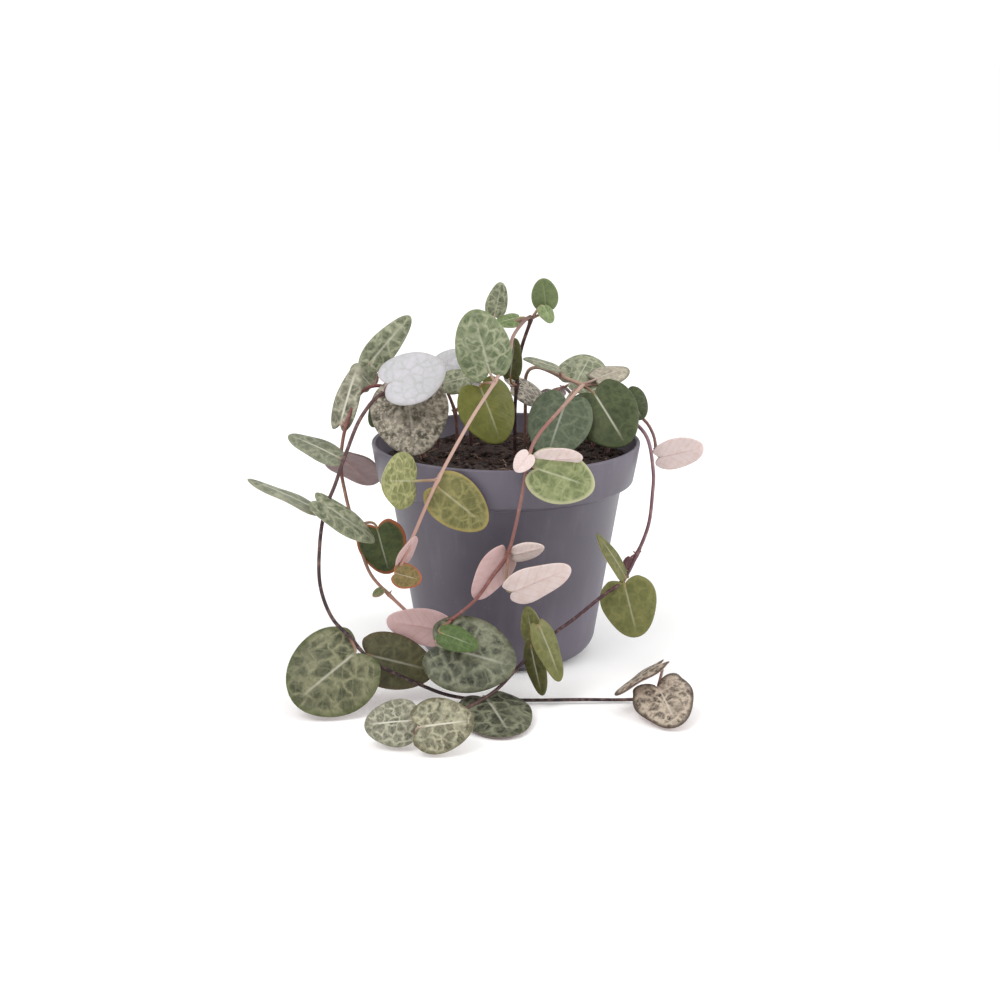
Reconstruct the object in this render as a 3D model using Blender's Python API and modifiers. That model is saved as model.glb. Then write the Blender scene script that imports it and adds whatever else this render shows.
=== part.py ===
"""String of hearts growing in a small nursery pot.

The plant is a thin plastic pot, a plug of soil and leafy vines that trail over the rim.
Sizes are in millimetres, and MM turns them into metres. +Z is up, the front of the plant
faces -Y, and the origin is at the centre of the pot's flat underside.
"""
import math
from collections import namedtuple

import bmesh
import bpy
from mathutils import Vector

MM = 0.001
GAP = 0.3

# Pot
POT_HEIGHT = 48.4
RIM_RADIUS = 29.7
COLLAR_FOOT_HEIGHT = 39.6
COLLAR_FOOT_RADIUS = 28.3
BODY_TOP_HEIGHT = 38.4
BODY_TOP_RADIUS = 25.8
BODY_FOOT_RADIUS = 20.2
BASE_CORNER = 5.4
BASE_CORNER_STEPS = 4
WALL = 0.8
POT_SIDES = 36
DRAIN_HOLES = 6
DRAIN_RADIUS = 2.4
DRAIN_CIRCLE = 11.5
DRAIN_DEPTH = 3.0
DRAIN_SIDES = 12

# Soil
SOIL_TOP = 44.0
SOIL_RINGS = (7.0, 14.0, 21.0)
SOIL_SIDES = 32
SOIL_CLEARANCE = GAP + 0.15
SOIL_EDGE_SPREAD = 0.7
SOIL_EDGE_DROP = 0.4
SOIL_SHOULDER_RISE = 0.3
SOIL_FOOT_RISE = 0.4
SOIL_LUMP = 0.5
SOIL_SMALL_LUMP = 0.3
SOIL_WAVE = (0.9, 0.7)
SOIL_SMALL_WAVE = (-0.5, 1.3)

# Vines
STEM_RADIUS = 0.5
STALK_RADIUS = 0.42
STEM_STEP = 4.6
STALK_STEPS = 3
ROOT_HEIGHTS = (38.0, 42.0, 45.0, 47.0)
HOLE_RADIUS = STEM_RADIUS + GAP + 0.05
HOLE_SIDES = 10

# Leaves
BLADE_THICKNESS = 0.8
BLADE_SIDES = 14
BLADE_CENTRE = 0.42
TIP_SPREAD = 0.5
LOBE_FULLNESS = 0.5
TURN_EASE = 0.3
CUP = -0.22
ARCH = -0.07
STALK_INTO_BLADE = 0.2
STALK_EASE = 0.4
STALK_SETTING_OUT = 0.3
STALK_ROOT = 0.3
STALK_SKEW = 0.07

# A leaf grows from route point number at. Its notch is where the stalk meets the blade, its
# tip is the point of the heart, and face is roughly the way that its upper side looks.
# Width is a share of the length from notch to tip, lobes says how far the heart's two lobes
# reach back past the notch, and point how far the tip is drawn out.
Leaf = namedtuple("Leaf", "at notch tip face width lobes point", defaults=(0.4, 0.2))
Vine = namedtuple("Vine", "name root route leaves")

VINES = (
    Vine("vine_front", (2.0, 3.0), (
        (2.0, 2.8, 54.0), (2.4, 2.4, 60.0), (3.3, 2.0, 68.0), (5.4, 0.0, 75.2),
        (4.0, -3.2, 75.4), (1.5, -6.5, 72.5), (0.6, -9.5, 69.0), (-2.4, -14.0, 64.0),
        (-7.5, -24.0, 57.7), (-14.0, -33.0, 47.3), (-18.5, -35.0, 37.3), (-21.8, -36.0, 29.5)), (
        Leaf(1, (1.0, -2.0, 63.0), (1.8, -2.4, 71.4), (-0.3, -1.0, 0.0), 0.56, 0.2, 0.4),
        Leaf(1, (1.5, 6.0, 59.2), (9.0, 11.5, 56.6), (0.0, -0.6, 0.8), 1.02),
        Leaf(3, (8.7, 1.0, 78.0), (8.0, 1.0, 84.0), (0.0, -1.0, 0.15), 0.98, 0.5, 0.1),
        Leaf(3, (8.2, -1.0, 78.0), (9.9, -3.0, 75.0), (0.6, -0.8, 0.0), 1.02),
        Leaf(3, (-2.5, 4.6, 75.6), (-0.9, 4.6, 82.6), (0.3, -1.0, 0.2), 0.7, 0.3, 0.35),
        Leaf(3, (2.6, 3.0, 75.0), (-2.4, 1.0, 74.2), (0.2, -0.4, 1.0), 0.93),
        Leaf(7, (-3.6, -13.0, 66.4), (-7.0, -13.0, 79.2), (0.1, -1.0, 0.25), 0.9, 0.4, 0.1),
        Leaf(7, (-5.4, -10.5, 61.7), (-0.8, -13.0, 50.6), (0.35, -0.9, 0.35), 1.06, 0.6, 0.15),
        Leaf(9, (-19.0, -33.0, 47.1), (-24.1, -43.0, 49.6), (0.8, -0.55, 0.1), 1.02),
        Leaf(9, (-13.9, -32.0, 45.4), (-4.0, -32.6, 37.4), (0.1, -1.0, 0.35), 0.85, 0.4, 0.15),
        Leaf(11, (-21.7, -35.0, 30.4), (-18.9, -35.0, 36.2), (-0.8, 0.5, 0.1), 0.84),
        Leaf(11, (-22.6, -36.8, 28.5), (-17.4, -38.3, 27.6), (0.0, -0.9, 0.4), 0.98))),
    Vine("vine_left", (-20.5, 6.0), (
        (-22.0, 6.0, 54.0), (-27.0, 4.5, 59.4), (-32.0, 2.0, 58.6), (-35.0, -3.0, 52.5),
        (-36.2, -5.5, 44.5), (-35.0, -9.5, 38.5), (-33.0, -14.0, 32.5), (-31.0, -18.0, 27.6),
        (-28.7, -22.5, 23.8), (-24.8, -26.5, 20.8), (-18.5, -30.0, 15.8)), (
        Leaf(3, (-36.4, -1.5, 52.4), (-32.8, 2.5, 65.2), (-0.3, -0.9, 0.0), 0.42, 0.3, 0.3),
        Leaf(4, (-36.5, -8.5, 46.2), (-47.2, -6.0, 51.3), (0.15, -0.35, 1.0), 0.65),
        Leaf(4, (-36.4, 1.5, 44.3), (-30.5, 13.0, 35.8), (0.2, 0.8, 0.5), 0.75),
        Leaf(6, (-27.5, -18.7, 33.0), (-25.0, -21.2, 23.7), (-0.2, -0.95, 0.2), 1.1, 0.6),
        Leaf(9, (-26.2, -27.5, 22.2), (-28.0, -29.0, 21.2), (0.0, -0.5, 0.8), 0.84),
        Leaf(10, (-13.0, -31.7, 14.6), (-25.0, -30.2, 16.6), (0.1, 0.9, 0.1), 0.7, 0.5, 0.15))),
    Vine("vine_long", (-18.5, 0.5), (
        (-20.5, 0.0, 54.0), (-26.2, -6.5, 60.0), (-30.8, -12.5, 56.4), (-33.8, -19.0, 49.8),
        (-35.8, -24.0, 44.2), (-37.8, -28.0, 39.2), (-38.6, -32.0, 33.0), (-38.4, -35.0, 25.5),
        (-36.0, -37.0, 19.2), (-32.2, -38.5, 15.4), (-27.8, -39.0, 10.4), (-22.0, -38.5, 7.0),
        (-13.9, -37.5, 2.9), (-8.5, -37.4, 1.6), (-5.0, -36.8, 1.1), (4.3, -36.7, 0.9),
        (15.4, -36.4, 0.9), (27.3, -36.1, 0.9), (31.3, -38.5, 3.4)), (
        Leaf(1, (-25.0, -9.5, 62.8), (-13.2, -8.0, 66.8), (0.0, -0.75, 0.7), 1.05, 0.3, 0.1),
        Leaf(1, (-21.6, -4.5, 60.8), (-19.5, -12.5, 48.0), (0.0, -0.95, 0.3), 1.12, 0.5),
        Leaf(5, (-39.4, -27.5, 39.4), (-53.6, -25.0, 46.4), (0.0, 0.05, 1.0), 0.52, 0.2, 0.4),
        Leaf(5, (-38.6, -29.5, 41.6), (-26.8, -30.0, 34.0), (-0.15, -0.2, 1.0), 0.72, 0.3),
        Leaf(9, (-31.4, -40.0, 12.1), (-43.2, -46.5, 4.2), (0.0, -0.8, 0.55), 1.21, 0.6, 0.05),
        Leaf(9, (-28.4, -36.7, 10.8), (-14.8, -35.0, 6.8), (0.05, -0.85, 0.5), 0.84, 0.4, 0.15),
        Leaf(14, (-4.2, -42.0, 3.3), (0.9, -57.0, 1.8), (0.0, -0.15, 1.0), 0.98),
        Leaf(18, (31.4, -42.5, 5.4), (34.2, -53.0, 1.9), (-0.1, -0.75, 0.65), 1.1, 1.4, 0.3),
        Leaf(18, (31.4, -39.0, 9.4), (21.9, -42.5, 4.8), (0.0, 0.25, 1.0), 0.65, 0.9, 0.4))),
    Vine("vine_centre", (4.5, 14.5), (
        (4.5, 14.6, 54.0), (4.7, 13.4, 60.5), (7.2, 8.6, 63.0), (12.4, 5.8, 61.4),
        (16.8, 4.6, 59.8), (16.2, -2.0, 60.4), (11.0, -15.5, 57.8), (6.6, -25.0, 54.8),
        (4.6, -31.5, 51.8), (3.0, -33.0, 43.0), (0.4, -33.5, 32.0), (-3.0, -34.0, 26.8),
        (-6.5, -34.5, 22.0), (-11.5, -35.5, 18.0)), (
        Leaf(3, (11.0, 3.6, 63.8), (4.0, 2.2, 66.6), (0.0, -0.3, 1.0), 0.56),
        Leaf(4, (16.0, 7.5, 60.2), (19.6, 15.5, 65.0), (0.0, -0.6, 0.8), 1.16, 0.3, 0.1),
        Leaf(4, (20.4, 6.5, 60.8), (27.6, 11.0, 62.8), (0.0, -0.4, 0.9), 0.85),
        Leaf(4, (13.2, -0.5, 57.0), (8.8, -9.6, 46.8), (-0.1, -0.85, 0.4), 0.98, 0.6, 0.15),
        Leaf(4, (19.8, 1.4, 58.0), (26.4, -4.8, 48.4), (0.1, -0.9, 0.35), 1.15, 0.7),
        Leaf(4, (27.4, 10.0, 57.0), (30.8, 7.0, 51.6), (0.3, -0.9, 0.2), 1.02),
        Leaf(8, (6.2, -33.0, 49.6), (18.0, -34.5, 46.2), (0.0, -0.85, 0.5), 0.95, 0.3, 0.15),
        Leaf(8, (7.0, -31.6, 51.2), (15.6, -31.8, 52.2), (0.0, 0.8, 0.4), 0.7),
        Leaf(8, (4.5, -33.2, 52.6), (1.8, -34.5, 49.4), (0.3, 0.9, 0.2), 0.93),
        Leaf(10, (-0.3, -32.6, 31.4), (-6.8, -33.0, 22.2), (-0.4, 0.85, 0.1), 0.7),
        Leaf(10, (1.6, -32.5, 31.4), (7.8, -33.0, 33.4), (0.0, 0.85, 0.3), 0.7),
        Leaf(10, (1.4, -35.5, 24.4), (13.0, -36.0, 30.2), (0.0, 0.8, 0.5), 0.76, 0.4, 0.5),
        Leaf(13, (-13.9, -39.0, 13.6), (1.8, -43.0, 10.8), (0.05, -0.8, 0.6), 1.02, 0.4, 0.15),
        Leaf(13, (-13.0, -41.2, 17.0), (-5.8, -44.0, 15.2), (0.1, -0.8, 0.6), 0.7))),
    Vine("vine_right", (23.0, 5.0), (
        (24.0, 4.6, 51.0), (27.5, 2.6, 52.2), (31.2, -0.6, 49.0), (32.4, -4.5, 42.4),
        (32.0, -8.5, 38.2), (30.8, -14.0, 32.6), (28.0, -20.0, 27.8), (24.6, -26.0, 23.6),
        (20.6, -28.5, 21.4), (14.2, -31.5, 17.0), (10.4, -33.5, 14.8), (6.2, -36.0, 12.0),
        (1.8, -38.4, 8.0), (-1.8, -41.5, 5.2), (-5.3, -46.5, 4.5), (-8.9, -53.0, 4.8),
        (-13.2, -58.5, 4.2), (-17.8, -61.5, 3.2)), (
        Leaf(6, (26.6, -19.5, 26.6), (25.2, -20.5, 24.4), (-0.5, -0.8, 0.0), 0.84),
        Leaf(7, (24.9, -25.5, 24.6), (19.6, -24.5, 33.8), (0.75, -0.45, 0.3), 0.46, 0.2, 0.4),
        Leaf(7, (25.0, -27.0, 23.0), (27.7, -29.5, 12.2), (-0.1, -0.95, 0.2), 1.05, 0.5, 0.35),
        Leaf(11, (5.9, -34.2, 12.3), (4.1, -33.8, 20.4), (-0.5, -0.8, 0.1), 0.65, 0.2, 0.4),
        Leaf(11, (6.8, -37.0, 17.0), (11.6, -39.5, 6.2), (0.6, -0.75, 0.2), 0.5, 0.3, 0.3),
        Leaf(11, (5.2, -37.5, 13.0), (7.2, -40.5, 3.2), (-0.5, -0.8, 0.2), 0.48, 0.2, 0.3),
        Leaf(17, (-18.6, -60.0, 5.4), (-28.0, -60.0, 4.7), (-0.1, -0.75, 0.66), 1.08, 0.5, 0.3),
        Leaf(17, (-16.6, -63.5, 5.5), (-6.4, -63.5, 7.0), (0.1, -0.8, 0.6), 1.1, 0.7, 0.15))),
    Vine("sprig_right", (20.0, 12.5), (
        (22.5, 12.0, 50.5), (27.6, 10.4, 52.4), (31.2, 8.6, 51.0), (33.2, 6.8, 48.0),
        (33.8, 4.6, 44.6)), (
        Leaf(4, (34.6, 4.0, 43.6), (44.2, 4.0, 46.2), (0.0, 0.8, 0.35), 0.85, 0.2, 0.0),
        Leaf(1, (26.8, 13.5, 54.0), (23.0, 21.0, 51.5), (0.0, 0.2, 1.0), 0.84))),
    Vine("crown_left", (-15.5, 10.5), (
        (-17.0, 10.4, 53.0), (-22.0, 10.0, 57.8), (-28.2, 9.4, 62.0)), (
        Leaf(2, (-30.5, 8.4, 64.0), (-21.4, 10.0, 74.4), (0.1, -0.8, 0.3), 0.47, 0.5, 0.3),
        Leaf(2, (-30.6, 11.0, 58.6), (-34.6, 12.0, 63.0), (0.0, -0.9, 0.3), 1.02),
        Leaf(1, (-27.0, 10.0, 55.6), (-30.4, 8.0, 49.6), (-0.3, -0.9, 0.1), 0.75))),
    Vine("crown_silver", (-11.0, 7.5), (
        (-11.4, 7.2, 53.0), (-13.5, 6.5, 59.0)), (
        Leaf(1, (-14.7, 8.0, 61.6), (-9.8, 10.0, 66.6), (0.0, -0.8, 0.5), 1.02),
        Leaf(1, (-13.5, 3.0, 60.4), (-6.8, 3.0, 62.4), (0.0, -0.7, 0.7), 0.93),
        Leaf(0, (-8.0, 10.5, 56.6), (-2.6, 17.5, 57.4), (0.0, 0.0, 1.0), 0.88))),
    Vine("vine_back_left", (-8.0, 14.0), (
        (-9.5, 16.5, 53.5), (-13.0, 23.5, 56.0), (-17.5, 30.0, 51.5), (-20.5, 33.5, 43.0),
        (-21.5, 34.0, 33.0), (-21.0, 34.5, 23.0), (-19.0, 35.0, 13.0), (-15.0, 35.5, 5.0),
        (-9.0, 36.0, 1.6), (-2.0, 36.0, 0.9), (5.0, 35.0, 0.9)), (
        Leaf(1, (-16.0, 22.0, 57.5), (-24.5, 19.5, 56.0), (0.0, -0.2, 1.0), 0.88),
        Leaf(1, (-10.5, 26.0, 56.6), (-4.5, 33.0, 54.0), (0.2, 0.5, 0.9), 0.88),
        Leaf(3, (-21.5, 35.0, 41.6), (-22.5, 40.5, 34.5), (-0.2, 0.9, 0.4), 0.84),
        Leaf(3, (-18.0, 34.5, 41.6), (-10.5, 35.5, 34.0), (0.2, 0.9, 0.4), 0.88),
        Leaf(5, (-20.5, 36.5, 21.8), (-17.5, 42.5, 15.5), (-0.1, 0.9, 0.4), 0.88),
        Leaf(8, (-8.0, 38.5, 3.6), (-3.0, 46.0, 1.6), (0.0, 0.3, 1.0), 0.93),
        Leaf(10, (7.5, 34.0, 3.0), (15.5, 31.0, 1.8), (0.2, 0.1, 1.0), 0.93),
        Leaf(10, (5.5, 37.5, 3.2), (10.5, 44.0, 1.8), (0.1, 0.3, 1.0), 0.93))),
    Vine("vine_back_right", (9.0, 15.5), (
        (10.5, 18.0, 53.0), (13.5, 25.0, 55.2), (17.0, 31.0, 50.0), (19.6, 33.6, 41.5),
        (21.0, 34.0, 32.0), (21.5, 34.0, 22.5)), (
        Leaf(1, (16.0, 23.5, 56.4), (24.5, 21.5, 55.0), (0.1, -0.2, 1.0), 0.88),
        Leaf(1, (11.0, 28.5, 53.8), (8.5, 36.5, 49.0), (-0.2, 0.7, 0.8), 0.84),
        Leaf(3, (20.5, 35.5, 40.4), (22.0, 41.0, 33.5), (0.2, 0.9, 0.4), 0.88),
        Leaf(3, (17.0, 34.6, 40.6), (9.5, 35.6, 34.0), (-0.2, 0.9, 0.4), 0.84),
        Leaf(5, (20.5, 34.5, 20.6), (19.0, 38.0, 12.0), (0.1, 0.9, 0.3), 0.84),
        Leaf(5, (19.6, 34.6, 22.6), (11.5, 33.5, 20.5), (-0.1, 0.9, 0.4), 0.84))),
)


def clear_scene():
    for old in list(bpy.data.objects):
        bpy.data.objects.remove(old, do_unlink=True)


def new_collection(name):
    group = bpy.data.collections.new(name)
    bpy.context.scene.collection.children.link(group)
    return group


def principled(name, colour, roughness):
    material = bpy.data.materials.new(name)
    material.use_nodes = True
    shader = material.node_tree.nodes["Principled BSDF"]
    shader.inputs["Base Color"].default_value = (*colour, 1.0)
    shader.inputs["Roughness"].default_value = roughness
    shader.inputs["Metallic"].default_value = 0.0
    return material


def add_object(name, mesh, group, material=None):
    item = bpy.data.objects.new(name, mesh)
    group.objects.link(item)
    if material:
        mesh.materials.append(material)
    return item


def evaluated_mesh(item):
    """The mesh of an object with its modifiers applied."""
    graph = bpy.context.evaluated_depsgraph_get()
    graph.update()
    return bpy.data.meshes.new_from_object(item.evaluated_get(graph))


def turned(name, profile, sides, group, material=None):
    """A turned shape: the profile, radius and height from top to bottom, about the Z axis."""
    points = [(radius * MM, 0.0, height * MM) for radius, height in profile]
    mesh = bpy.data.meshes.new(name)
    mesh.from_pydata(points, [(i, i + 1) for i in range(len(points) - 1)], [])
    item = add_object(name, mesh, group, material)
    screw = item.modifiers.new("Turn", "SCREW")
    screw.axis = "Z"
    screw.steps = sides
    screw.render_steps = sides
    screw.use_merge_vertices = True
    screw.merge_threshold = 0.00001
    return item


def cylinder_cutter(name, radius, low, high, centre, sides, group):
    mesh = bpy.data.meshes.new(name)
    shape = bmesh.new()
    bmesh.ops.create_cone(shape, cap_ends=True, segments=sides, radius1=radius * MM,
                          radius2=radius * MM, depth=(high - low) * MM)
    shape.to_mesh(mesh)
    shape.free()
    cutter = add_object(name, mesh, group)
    cutter.location = Vector((*centre, (low + high) / 2)) * MM
    cutter.hide_render = True
    cutter.display_type = "WIRE"
    return cutter


def cut_with(item, group):
    cut = item.modifiers.new("Cut", "BOOLEAN")
    cut.operation = "DIFFERENCE"
    cut.operand_type = "COLLECTION"
    cut.collection = group
    cut.solver = "EXACT"


def build_pot(group, material):
    """The nursery pot: a collar at the rim, a sloping body and a flat base with drain holes."""
    corner = [
        (BODY_FOOT_RADIUS - BASE_CORNER * (1 - math.cos(angle)), BASE_CORNER * (1 - math.sin(angle)))
        for angle in (i * math.pi / 2 / BASE_CORNER_STEPS for i in range(BASE_CORNER_STEPS + 1))
    ]
    profile = [(RIM_RADIUS, POT_HEIGHT), (COLLAR_FOOT_RADIUS, COLLAR_FOOT_HEIGHT),
               (BODY_TOP_RADIUS, BODY_TOP_HEIGHT), *corner, (0.0, 0.0)]
    pot = turned("pot", profile, POT_SIDES, group, material)
    wall = pot.modifiers.new("Wall", "SOLIDIFY")
    wall.thickness = WALL * MM
    wall.offset = -1.0
    drains = new_collection("drain cutters")
    for i in range(DRAIN_HOLES):
        turn = 2 * math.pi * i / DRAIN_HOLES
        centre = (DRAIN_CIRCLE * math.cos(turn), DRAIN_CIRCLE * math.sin(turn))
        cylinder_cutter(f"drain_cutter_{i + 1}", DRAIN_RADIUS, -DRAIN_DEPTH, DRAIN_DEPTH,
                        centre, DRAIN_SIDES, drains)
    cut_with(pot, drains)


def soil_height(x, y):
    """Low lumps in the soil's top, from a few crossing waves."""
    lump = math.sin(x * SOIL_WAVE[0] + 1.0) * math.cos(y * SOIL_WAVE[1])
    small_lump = math.sin(x * SOIL_SMALL_WAVE[0] + y * SOIL_SMALL_WAVE[1])
    return SOIL_LUMP * lump + SOIL_SMALL_LUMP * small_lump


def build_soil(group, material):
    """The plug of soil that fills the pot, with a plain hole for each vine."""
    inset = WALL + SOIL_CLEARANCE
    bottom = WALL + GAP
    profile = [(0.0, SOIL_TOP), *((radius, SOIL_TOP) for radius in SOIL_RINGS),
               (COLLAR_FOOT_RADIUS - inset + SOIL_EDGE_SPREAD, SOIL_TOP - SOIL_EDGE_DROP),
               (COLLAR_FOOT_RADIUS - inset, COLLAR_FOOT_HEIGHT + inset),
               (BODY_TOP_RADIUS - inset, BODY_TOP_HEIGHT + SOIL_SHOULDER_RISE),
               (BODY_FOOT_RADIUS - inset, BASE_CORNER + SOIL_FOOT_RISE),
               (BODY_FOOT_RADIUS - BASE_CORNER, bottom), (0.0, bottom)]
    soil = turned("soil", profile, SOIL_SIDES, group, material)
    plain = soil.data
    soil.data = evaluated_mesh(soil)
    soil.modifiers.clear()
    bpy.data.meshes.remove(plain)
    for vertex in soil.data.vertices:
        if vertex.co.z > (SOIL_TOP - 0.1) * MM:
            vertex.co.z += soil_height(vertex.co.x / MM, vertex.co.y / MM) * MM
    holes = new_collection("stem hole cutters")
    for vine in VINES:
        cylinder_cutter(f"hole_cutter_{vine.name}", HOLE_RADIUS, ROOT_HEIGHTS[0] - GAP,
                        POT_HEIGHT, vine.root, HOLE_SIDES, holes)
    cut_with(soil, holes)


def smooth_route(points, step):
    """Points about one step apart on a smooth curve through the given ones."""
    points = [Vector(point) for point in points]
    ends = [2 * points[0] - points[1], *points, 2 * points[-1] - points[-2]]
    route = []
    for before, start, end, after in zip(ends, ends[1:], ends[2:], ends[3:]):
        pieces = max(1, round((end - start).length / step))
        for i in range(pieces):
            t = i / pieces
            route.append(0.5 * (2 * start + (end - before) * t
                                + (2 * before - 5 * start + 4 * end - after) * t ** 2
                                + (3 * start - before - 3 * end + after) * t ** 3))
    return [*route, points[-1]]


def tube(name, points, radius, resolution, group):
    """A round tube along the points, as a closed mesh."""
    curve = bpy.data.curves.new(name, "CURVE")
    curve.dimensions = "3D"
    curve.bevel_depth = radius * MM
    curve.bevel_resolution = resolution
    curve.use_fill_caps = True
    spline = curve.splines.new("POLY")
    spline.points.add(len(points) - 1)
    for target, point in zip(spline.points, points):
        target.co = (*(Vector(point) * MM), 1.0)
    drawn = bpy.data.objects.new(name, curve)
    group.objects.link(drawn)
    mesh = evaluated_mesh(drawn)
    bpy.data.objects.remove(drawn)
    bpy.data.curves.remove(curve)
    shape = bmesh.new()
    shape.from_mesh(mesh)
    bmesh.ops.remove_doubles(shape, verts=shape.verts, dist=0.00001)
    shape.to_mesh(mesh)
    shape.free()
    return add_object(name, mesh, group)


def blade_frame(leaf):
    """Length of a leaf, and the directions across it, along it and out of its upper side."""
    along = Vector(leaf.tip) - Vector(leaf.notch)
    length = along.length
    along.normalize()
    out = Vector(leaf.face)
    out = (out - along * out.dot(along)).normalized()
    return length, along.cross(out), along, out


def heart_point(turn, leaf, length):
    """A point of the flat heart's edge, with its notch at the origin and its tip at +Y.

    Turn runs from -1 to 1 along the edge, with the tip at 0. The edge is a rounded heart in
    polar form about the notch. The power says how full its lobes are, and widest is the
    cosine at which it is widest.
    """
    angle = math.pi * turn * (1 - TURN_EASE * (1 - turn ** 2))
    power = 1 - LOBE_FULLNESS * leaf.lobes
    widest = power / (1 + power)
    half_width = ((1 + widest) / 2) ** power * math.sqrt(1 - widest ** 2)
    reach = max(0.0, (1 + math.cos(angle)) / 2) ** power
    reach *= 1 + leaf.point * math.exp(-(angle / TIP_SPREAD) ** 2)
    across = reach * math.sin(angle) * length * leaf.width / (2 * half_width)
    along = reach * math.cos(angle) * length / (1 + leaf.point)
    return across, along


def blade_height(across, along, length):
    """How far the blade bends out of its flat plane, at its edges and towards its tip."""
    return (CUP * across ** 2 + ARCH * along * abs(along)) / length


def blade(name, leaf, group):
    """A thin heart-shaped blade: a fan of triangles about its middle, with its own thickness."""
    length, across_axis, along_axis, out_axis = blade_frame(leaf)
    shape = bmesh.new()
    bmesh.ops.create_circle(shape, cap_ends=True, cap_tris=True, radius=1.0, segments=BLADE_SIDES)
    for vertex in shape.verts:
        across, along = 0.0, BLADE_CENTRE * length
        if vertex.co.length > 0.5:
            turn = math.atan2(vertex.co.x, vertex.co.y) / math.pi
            across, along = heart_point(turn, leaf, length)
        height = blade_height(across, along, length) + BLADE_THICKNESS / 2
        place = Vector(leaf.notch) + across * across_axis + along * along_axis + height * out_axis
        vertex.co = place * MM
    shape.normal_update()
    bmesh.ops.solidify(shape, geom=shape.faces[:], thickness=BLADE_THICKNESS * MM)
    bmesh.ops.recalc_face_normals(shape, faces=shape.faces)
    mesh = bpy.data.meshes.new(name)
    shape.to_mesh(mesh)
    shape.free()
    return add_object(name, mesh, group)


def stalk_route(leaf, base):
    """A bent line from the stem to the notch, then a little way into the blade."""
    length, across, along, _ = blade_frame(leaf)
    notch = Vector(leaf.notch)
    base = Vector(base)
    base += (base - notch).normalized() * STALK_ROOT
    ease = STALK_EASE * (notch - base).length
    turn_out = base.lerp(notch, STALK_SETTING_OUT)
    turn_in = notch - along * ease
    route = []
    for i in range(STALK_STEPS):
        t = i / STALK_STEPS
        route.append((1 - t) ** 3 * base + 3 * (1 - t) ** 2 * t * turn_out
                     + 3 * (1 - t) * t ** 2 * turn_in + t ** 3 * notch)
    inner_end = notch + along * length * STALK_INTO_BLADE + across * STALK_SKEW
    return [*route, notch + across * STALK_SKEW, inner_end]


def keep_largest_body(mesh):
    """Drop loose scraps and the walls of hollows that fusing sealed."""
    shape = bmesh.new()
    shape.from_mesh(mesh)
    left = set(shape.verts)
    bodies = []
    while left:
        body = [left.pop()]
        for vertex in body:
            near = {edge.other_vert(vertex) for edge in vertex.link_edges} & left
            left -= near
            body.extend(near)
        bodies.append(body)
    bodies.sort(key=len)
    for body in bodies[:-1]:
        bmesh.ops.delete(shape, geom=body, context="VERTS")
    shape.to_mesh(mesh)
    shape.free()


def build_vine(vine, group, material):
    """One vine: its stem, with every stalk and blade fused to it."""
    root = [(*vine.root, height) for height in ROOT_HEIGHTS]
    stem = tube(vine.name, smooth_route(root + list(vine.route), STEM_STEP), STEM_RADIUS, 1, group)
    foliage = new_collection(f"{vine.name} foliage")
    for number, leaf in enumerate(vine.leaves, 1):
        blade(f"blade_{number}", leaf, foliage)
        tube(f"stalk_{number}", stalk_route(leaf, vine.route[leaf.at]), STALK_RADIUS, 0, foliage)
    union = stem.modifiers.new("Foliage", "BOOLEAN")
    union.operation = "UNION"
    union.operand_type = "COLLECTION"
    union.collection = foliage
    union.solver = "MANIFOLD"
    plain = stem.data
    stem.data = evaluated_mesh(stem)
    stem.modifiers.clear()
    keep_largest_body(stem.data)
    stem.data.materials.clear()
    stem.data.materials.append(material)
    bpy.data.meshes.remove(plain)
    for item in list(foliage.objects):
        bpy.data.objects.remove(item)
    bpy.data.collections.remove(foliage)


def main():
    clear_scene()
    plant = new_collection("string of hearts")
    build_pot(plant, principled("pot plastic", (0.075, 0.066, 0.080), 0.45))
    build_soil(plant, principled("soil", (0.030, 0.019, 0.014), 0.95))
    foliage_green = principled("foliage", (0.120, 0.150, 0.070), 0.5)
    for vine in VINES:
        build_vine(vine, plant, foliage_green)


main()
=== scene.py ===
"""String of hearts in a small nursery pot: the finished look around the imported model.

Sizes are in millimetres in this script, and MM turns them into metres. +Z is up, the front of
the plant faces -Y, and the origin is at the centre of the pot's flat underside.
"""

import math
import random
from collections import namedtuple

import bmesh
import bpy
from mathutils import Matrix, Vector, noise
from mathutils.kdtree import KDTree


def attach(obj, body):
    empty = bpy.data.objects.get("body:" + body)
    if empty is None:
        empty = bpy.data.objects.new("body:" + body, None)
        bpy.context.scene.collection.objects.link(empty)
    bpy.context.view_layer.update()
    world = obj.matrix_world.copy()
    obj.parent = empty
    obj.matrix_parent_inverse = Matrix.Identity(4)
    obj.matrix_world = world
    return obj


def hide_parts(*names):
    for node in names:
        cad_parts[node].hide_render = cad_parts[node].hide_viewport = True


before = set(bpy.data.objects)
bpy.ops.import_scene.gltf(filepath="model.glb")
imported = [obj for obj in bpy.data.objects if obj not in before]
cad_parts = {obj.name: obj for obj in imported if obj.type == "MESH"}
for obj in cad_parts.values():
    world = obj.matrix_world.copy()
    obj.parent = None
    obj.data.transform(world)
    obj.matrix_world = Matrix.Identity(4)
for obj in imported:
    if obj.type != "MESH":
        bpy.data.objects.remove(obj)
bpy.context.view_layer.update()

MM = 0.001
MERGE_DISTANCE = 0.001

# Camera, where the photograph was taken from
CAMERA_AT = (-1.3, -400.0, 138.0)
CAMERA_TILT = math.radians(75.5)
CAMERA_LENS = 66.6
CAMERA_SENSOR = 36.0
CAMERA_NEAR = 10.0

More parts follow.
